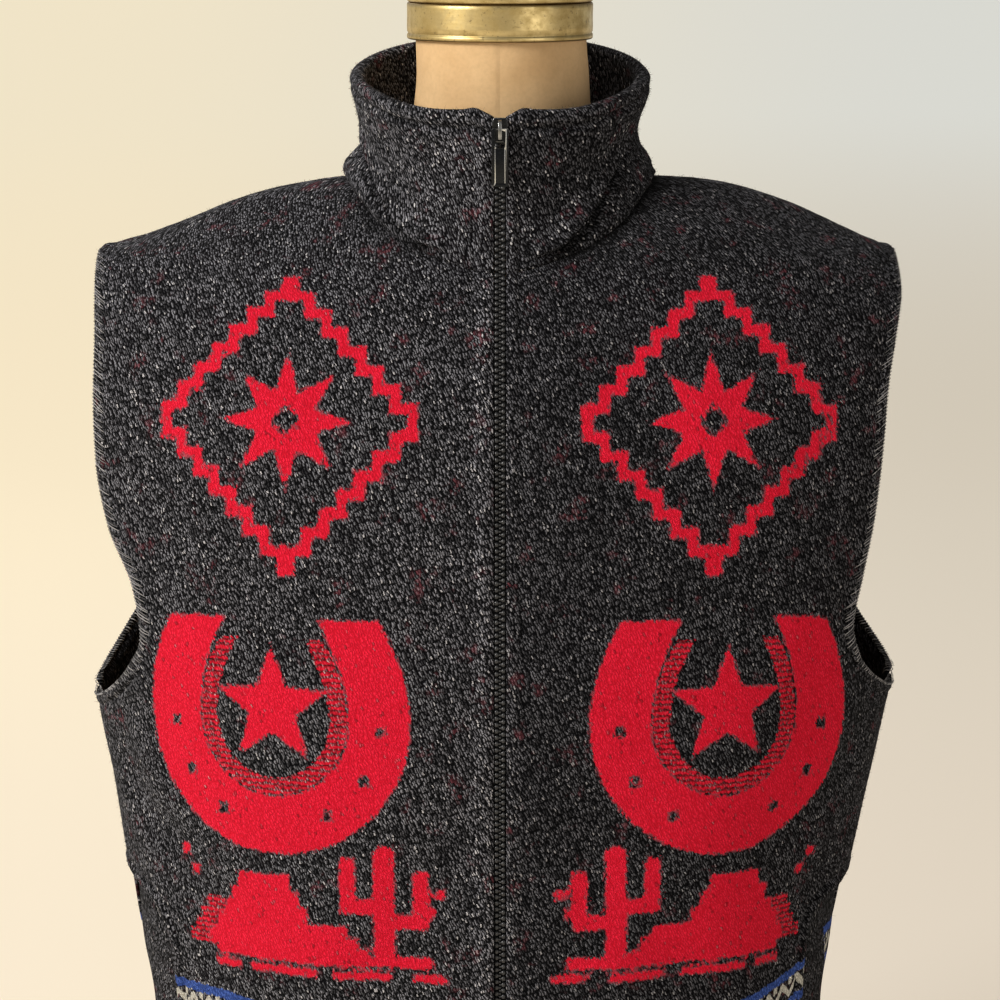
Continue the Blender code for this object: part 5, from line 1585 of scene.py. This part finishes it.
def rounded_outline(half_width, low, high, radius, steps=5):
    """A rectangle with round corners, in a front view."""
    made = []
    corners = [(half_width, high), (-half_width, high), (-half_width, low), (half_width, low)]
    for quarter, (x, z) in enumerate(corners):
        cx, cz = x - math.copysign(radius, x), z - math.copysign(radius, z - (low + high) / 2)
        for step in range(steps + 1):
            angle = math.radians(90 * quarter + 90 * step / steps)
            made.append((cx + radius * math.cos(angle), cz + radius * math.sin(angle)))
    return np.array(made)


PULL_WIDTH, PULL_WALL = 0.0100, 0.0014
WINDOW_WIDTH, WINDOW_LENGTH = 0.0058, 0.0100


def skin(loops, place):
    """Points and quads of a solid between outlines of the same size."""
    points = np.array([place(x, z, level) for outline, level in loops for x, z in outline])
    return points, capped_quads(len(loops), len(loops[0][0]))


def add_pull(finish):
    """The pull tab: a frame at the top, and a sunk panel inside a raised border below."""
    low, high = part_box("zip_pull")
    centre_y, top = (low[1] + high[1]) / 2, high[2]
    half, bottom = PULL_WIDTH / 2, low[2]
    window_low = top - PULL_WALL - WINDOW_LENGTH
    front, back = PULL_WALL / 2, -PULL_WALL / 2

    def place(x, z, level):
        return (x, centre_y - level, z)

    def ring(inset, corner):
        return rounded_outline(half - inset, bottom + inset, top - inset, corner)

    def panel(inset):
        return rounded_outline(half - inset, bottom + inset, window_low - 0.0004 - (inset - 0.0014), 0.0007)

    eased, whole = ring(0.0002, 0.0009), ring(0.0, 0.0011)
    loops = [(eased, back), (whole, back + 0.0003), (whole, front - 0.0003), (eased, front)]
    points, quads = skin(loops, place)
    plate = add_piece(make_mesh("pull_tab", points, quads), finish, PULL_BODY)
    window = rounded_outline(WINDOW_WIDTH / 2, window_low, top - PULL_WALL, 0.0008)
    cut(plate, [(window, -0.004), (window, 0.004)], place)
    cut(plate, [(panel(0.0018), front - 0.0005), (panel(0.0014), front + 0.002)], place)
    cut(plate, [(panel(0.0014), back - 0.002), (panel(0.0018), back + 0.0004)], place)
    soften(plate, 0.00028)
    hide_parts("zip_pull")


def cut(piece, loops, place):
    """Cuts a prism from a piece and applies the cut."""
    points, quads = skin(loops, place)
    cutter = new_object("cutter", make_mesh("cutter", points, quads))
    made = piece.modifiers.new("cut", "BOOLEAN")
    made.operation, made.object = "DIFFERENCE", cutter
    apply_modifiers(piece)
    bpy.data.objects.remove(cutter, do_unlink=True)


def soften(piece, width):
    made = piece.modifiers.new("soft edges", "BEVEL")
    made.width, made.segments, made.limit_method = width, 2, "ANGLE"
    made.angle_limit = math.radians(35)
    apply_modifiers(piece)
    piece.data.shade_smooth()


def apply_modifiers(piece):
    graph = bpy.context.evaluated_depsgraph_get()
    graph.update()
    finished = bpy.data.meshes.new_from_object(piece.evaluated_get(graph))
    piece.modifiers.clear()
    piece.data = finished


def add_slider(finish):
    """The slider's cap with its flared top, side flanges and bridge."""
    low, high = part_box("zip_slider")
    back = high[1]
    face = back - 0.0016
    bottom, top = low[2], high[2]
    middle = (bottom + top) / 2

    half_widths = [(bottom, 0.0030), (bottom + 0.0012, 0.0034), (middle - 0.0010, 0.0036)]
    half_widths += [(middle + 0.0012, 0.0045), (top - 0.0012, 0.0045), (top, 0.0036)]

    def outline_at(inset):
        right = []
        for z, x in half_widths:
            share = 1.0 if z in (bottom, top) else 0.5
            right.append((x - inset, z - math.copysign(inset, z - middle) * share))
        return np.array(right + [(-x, z) for x, z in right[::-1]])

    def place(x, z, level):
        return (x, level, z)

    loops = [(outline_at(0.0002), back), (outline_at(0.0), back - 0.0003)]
    loops += [(outline_at(0.0), face + 0.0004), (outline_at(0.0005), face)]
    points, quads = skin(loops, place)
    body = add_piece(make_mesh("slider_cap", points, quads), finish)
    bridge_low, bridge_high, crown = bottom + 0.0008, top - 0.0008, low[1]

    def arch(rows):
        """One face of the bridge: (y, rise) rows from its foot, the same at both ends."""
        lower = [(y, bridge_low + rise) for y, rise in rows]
        upper = [(y, bridge_high - rise) for y, rise in rows[::-1]]
        return [*lower, (rows[-1][0], middle), *upper]

    foot, half = face + 0.0006, 0.0011
    outer = arch([(foot, 0.0), (crown + 0.0012, 0.0012), (crown, 0.0034)])
    inner = arch([(foot, 0.0020), (crown + 0.0020, 0.0024), (crown + 0.0014, 0.0040)])
    points = []
    for outer_at, inner_at in zip(outer, inner):
        for x, (y, z) in ((-half, outer_at), (half, outer_at), (half, inner_at), (-half, inner_at)):
            points.append((x, y, z))
    mesh = make_mesh("slider_bridge", np.array(points), capped_quads(len(outer), 4))
    bridge = add_piece(mesh, finish)
    for piece in (body, bridge):
        soften(piece, 0.00025)
    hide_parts("zip_slider")
    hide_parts("zip_slider")


# The dress form
FORM_PITCH, FORM_AROUND = 0.008, 120


def add_form(finish):
    heights = []
    for low, high in zip(column(FORM, "z"), column(FORM, "z")[1:]):
        heights += list(np.linspace(low, high, max(2, math.ceil((high - low) / FORM_PITCH) + 1))[:-1])
    heights = np.array(heights + [FORM[-1].z])[:, None]
    angle = (2 * math.pi * np.arange(FORM_AROUND) / FORM_AROUND)[None]
    across, along = np.sin(angle), -np.cos(angle)
    sizes = {name: column_curve(FORM, "z", name, heights) for name in FormRow._fields[1:]}
    power = 2 / sizes["squareness"]
    x = np.where(across > 0, sizes["right"], sizes["left"]) * signed_power(across, power)
    y = np.where(along > 0, sizes["back"], sizes["front"]) * signed_power(along, power)
    grid = np.stack([x, y, np.broadcast_to(heights, x.shape)], axis=-1)
    seam_x = 0.0012
    seam = np.where(along < 0, np.abs(grid[..., 0] - seam_x), 0.05)
    spot = np.linalg.norm(grid - np.array([0.0262, -0.0475, 0.806]), axis=-1)
    inward = -from_axis(grid)
    inward /= np.linalg.norm(inward, axis=-1, keepdims=True)
    grid = grid + inward * (0.0003 * bump(seam, 0.0, 0.0018))[..., None]
    u = run_along(grid, 1, [0, 1])
    uv = np.stack([u, grid[..., 2]], axis=-1).reshape(-1, 2)
    marks = {"seam": seam, "spot": spot}
    mesh = make_mesh("form_cover", grid.reshape(-1, 3), capped_quads(*x.shape), uv, marks)
    piece = add_piece(mesh, finish)
    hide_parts("form_body")


BAND_PROFILE = [
    (0.0534, 0.8210), (0.0552, 0.8210), (0.0563, 0.8211), (0.0569, 0.8215), (0.0572, 0.8221),
    (0.0572, 0.8236), (0.0569, 0.8243), (0.0565, 0.8247), (0.0566, 0.8252), (0.0571, 0.8258),
    (0.0572, 0.8290), (0.0571, 0.8360), (0.0572, 0.8405), (0.0572, 0.8423), (0.0568, 0.8431),
    (0.0562, 0.8435), (0.0534, 0.8435),
]
CAP_PROFILE = [
    (0.0000, 0.8438), (0.0562, 0.8438), (0.0568, 0.8442), (0.0572, 0.8450), (0.0573, 0.8470),
    (0.0572, 0.8540), (0.0573, 0.8568), (0.0571, 0.8580), (0.0566, 0.8588), (0.0550, 0.8594),
    (0.0500, 0.8604), (0.0400, 0.8620), (0.0300, 0.8634), (0.0200, 0.8644), (0.0100, 0.8650),
    (0.0000, 0.8650),
]
TURNED_AROUND, DENTED_FROM = 160, 0.054


def add_turned(name, node, profile, finish, closed):
    """A turned piece, with slight dents and wear."""
    angle = 2 * math.pi * np.arange(TURNED_AROUND) / TURNED_AROUND
    if not closed:
        profile = [(max(radius, 0.0004), z) for radius, z in profile]
    radius, z = (np.array(values)[:, None] for values in zip(*profile))
    dent = 0.00012 * np.sin(3 * angle + 40 * z) + 0.00008 * np.sin(11 * angle - 90 * z)
    radius = radius + np.where(radius > DENTED_FROM, dent, 0.0)
    level = np.broadcast_to(z, radius.shape)
    grid = np.stack([radius * np.sin(angle), -radius * np.cos(angle), level], axis=-1)
    quads = ring_quads(*radius.shape, closed_rings=True) if closed else capped_quads(*radius.shape)
    rim = np.minimum(z - z.min(), z.max() - z) + np.zeros_like(radius)
    mesh = make_mesh(name, grid.reshape(-1, 3), quads, None, {"rim": rim})
    piece = add_piece(mesh, finish)
    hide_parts(node)


BASE_HALF_WIDTH, BASE_HALF_DEPTH, BASE_HEIGHT = 0.172, 0.128, 0.018
BASE_EASE, BASE_EASE_STEPS, BASE_AROUND = 0.004, 6, 128


def add_base(finish):
    """The oval board with its eased top edge."""
    eased_from = BASE_HEIGHT - BASE_EASE
    profile = [(0.0015, 0.0), (0.0004, 0.0004), (0.0, 0.0015), (0.0, eased_from)]
    for step in range(1, BASE_EASE_STEPS + 1):
        turn = math.pi / 2 * step / BASE_EASE_STEPS
        profile.append((BASE_EASE * (1 - math.cos(turn)), eased_from + BASE_EASE * math.sin(turn)))
    angle = 2 * math.pi * np.arange(BASE_AROUND) / BASE_AROUND
    rings = []
    for inset, z in profile:
        x, y = (BASE_HALF_WIDTH - inset) * np.cos(angle), (BASE_HALF_DEPTH - inset) * np.sin(angle)
        rings.append(np.stack([x, y, np.full(BASE_AROUND, z)], axis=-1))
    points = np.array(rings).reshape(-1, 3)
    mesh = make_mesh("form_board", points, capped_quads(len(profile), BASE_AROUND))
    piece = add_piece(mesh, finish)
    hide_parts("form_base")


# Glow of the pale floor, painted light added to what the lamps and the world give it, warmer and brighter on
# the left where the key lamp stands: (left, right) colours near the object and far behind it
FLOOR_NEAR = ((0.585, 0.491, 0.347), (0.440, 0.377, 0.295))
FLOOR_MIDDLE = ((0.76, 0.646, 0.440), (0.473, 0.424, 0.340))
FLOOR_FAR = ((0.73, 0.646, 0.464), (0.550, 0.564, 0.530))
FLOOR_REACH = 60.0


def add_floor():
    nodes = Nodes("pale_floor")
    x, y, _ = nodes.separate(nodes.object_place())
    across = nodes.step(x / (y + 2.6).at_least(1.5), -0.13, 0.13)
    near, middle, far = (nodes.mix(across, *pair) for pair in (FLOOR_NEAR, FLOOR_MIDDLE, FLOOR_FAR))
    glow = nodes.mix(nodes.step(y, 0.5, 3.0), near, middle)
    glow = nodes.mix(nodes.step(y, 3.0, 12.0), glow, far)
    nodes.finish(Base_Color=(0.40, 0.375, 0.34), Roughness=0.9, Specular_IOR_Level=0.05)
    # Painted light: the floor glows in these colours.
    nodes.finish(Emission_Color=glow, Emission_Strength=1.0)
    mesh = bpy.data.meshes.new("floor")
    corners = [(x * FLOOR_REACH, y * FLOOR_REACH, 0) for x, y in ((-1, -1), (1, -1), (1, 1), (-1, 1))]
    mesh.from_pydata(corners, [], [(0, 1, 2, 3)])
    mesh.materials.append(nodes.material)
    floor = new_object("floor", mesh)


Lamp = namedtuple("Lamp", "name place aim size watts colour")
LAMPS = [
    Lamp("key", (-2.10, -1.45, 1.95), (0.0, 0.0, 0.50), 1.1, 88.0, (1.0, 0.965, 0.915)),
    Lamp("fill", (1.9, -2.0, 1.1), (0.0, 0.0, 0.50), 1.8, 13.0, (1.0, 0.95, 0.88)),
    Lamp("back", (-0.6, 1.6, 2.2), (0.0, 0.0, 0.60), 1.6, 12.0, (1.0, 0.97, 0.94)),
]


def add_lights():
    for lamp in LAMPS:
        light = bpy.data.lights.new(lamp.name, "AREA")
        light.shape, light.size, light.energy, light.color = "DISK", lamp.size, lamp.watts, lamp.colour
        thing = new_object(lamp.name, light)
        thing.location = lamp.place
        aim = Vector(lamp.aim) - Vector(lamp.place)
        thing.rotation_euler = aim.to_track_quat("-Z", "Y").to_euler()
        thing.visible_camera = False
    world = bpy.data.worlds.new("studio")
    world.use_nodes = True
    tree = world.node_tree
    background = tree.nodes["Background"]
    background.inputs[0].default_value = (1.0, 0.955, 0.89, 1.0)
    place = tree.nodes.new("ShaderNodeTexCoord")
    parts = tree.nodes.new("ShaderNodeSeparateXYZ")
    level = tree.nodes.new("ShaderNodeMapRange")
    tree.links.new(place.outputs["Generated"], parts.inputs[0])
    tree.links.new(parts.outputs[0], level.inputs[0])
    for index, value in enumerate((-0.6, 0.8, 0.46, 0.20), start=1):
        level.inputs[index].default_value = value
    tree.links.new(level.outputs[0], background.inputs[1])
    bpy.context.scene.world = world


def add_camera():
    camera = bpy.data.cameras.new("camera")
    camera.lens, camera.sensor_width, camera.sensor_fit = CAMERA_LENS, CAMERA_SENSOR, "HORIZONTAL"
    thing = new_object("camera", camera)
    thing.location = CAMERA_PLACE
    thing.rotation_euler = (math.radians(90 - CAMERA_PITCH_DOWN), 0.0, 0.0)
    bpy.context.scene.camera = thing


def main():
    add_camera()
    add_floor()
    add_lights()
    bpy.context.scene.view_settings.view_transform = "Standard"
    fuzz = fuzz_material()
    # The right-hand copies of the wool take a lower grey, and the collar a darker right side: painted shade
    # of the side turned away from the key lamp, so these are lit and shaded copies of one cloth.
    front_wool = {
        LEFT: wool_material("blanket_wool_front_left", border=True, motif=True, grey=0.92),
        RIGHT: wool_material("blanket_wool_front_right", border=True, motif=True, grey=0.56),
    }
    back_wool = wool_material("blanket_wool_back", border=True)
    facing_wool = {
        LEFT: wool_material("blanket_wool_facing_left", grey=0.72),
        RIGHT: wool_material("blanket_wool_facing_right", border=True, grey=0.42),
    }
    collar_wool = wool_material("blanket_wool_collar", grey=1.06, right_painted_shade=0.60)
    for side in (LEFT, RIGHT):
        add_front(side, front_wool[side], fuzz)
        add_pocket_facing(side, facing_wool[side])
    add_back(back_wool, fuzz)
    add_collar(collar_wool, fuzz)
    thread = thread_material()
    for side in (LEFT, RIGHT):
        add_armhole_stitches(side, armhole_panels(side), thread)
    metal = gunmetal_material()
    add_zip(tape_material(), teeth_material())
    dress("zip_box", metal)
    add_slider(metal)
    add_pull(metal)
    add_form(form_material())
    brass = brass_material()
    add_turned("neck_band", "form_neck_band", BAND_PROFILE, brass, closed=True)
    add_turned("neck_cap", "form_neck_cap", CAP_PROFILE, brass, closed=False)
    add_base(wood_material())


main()
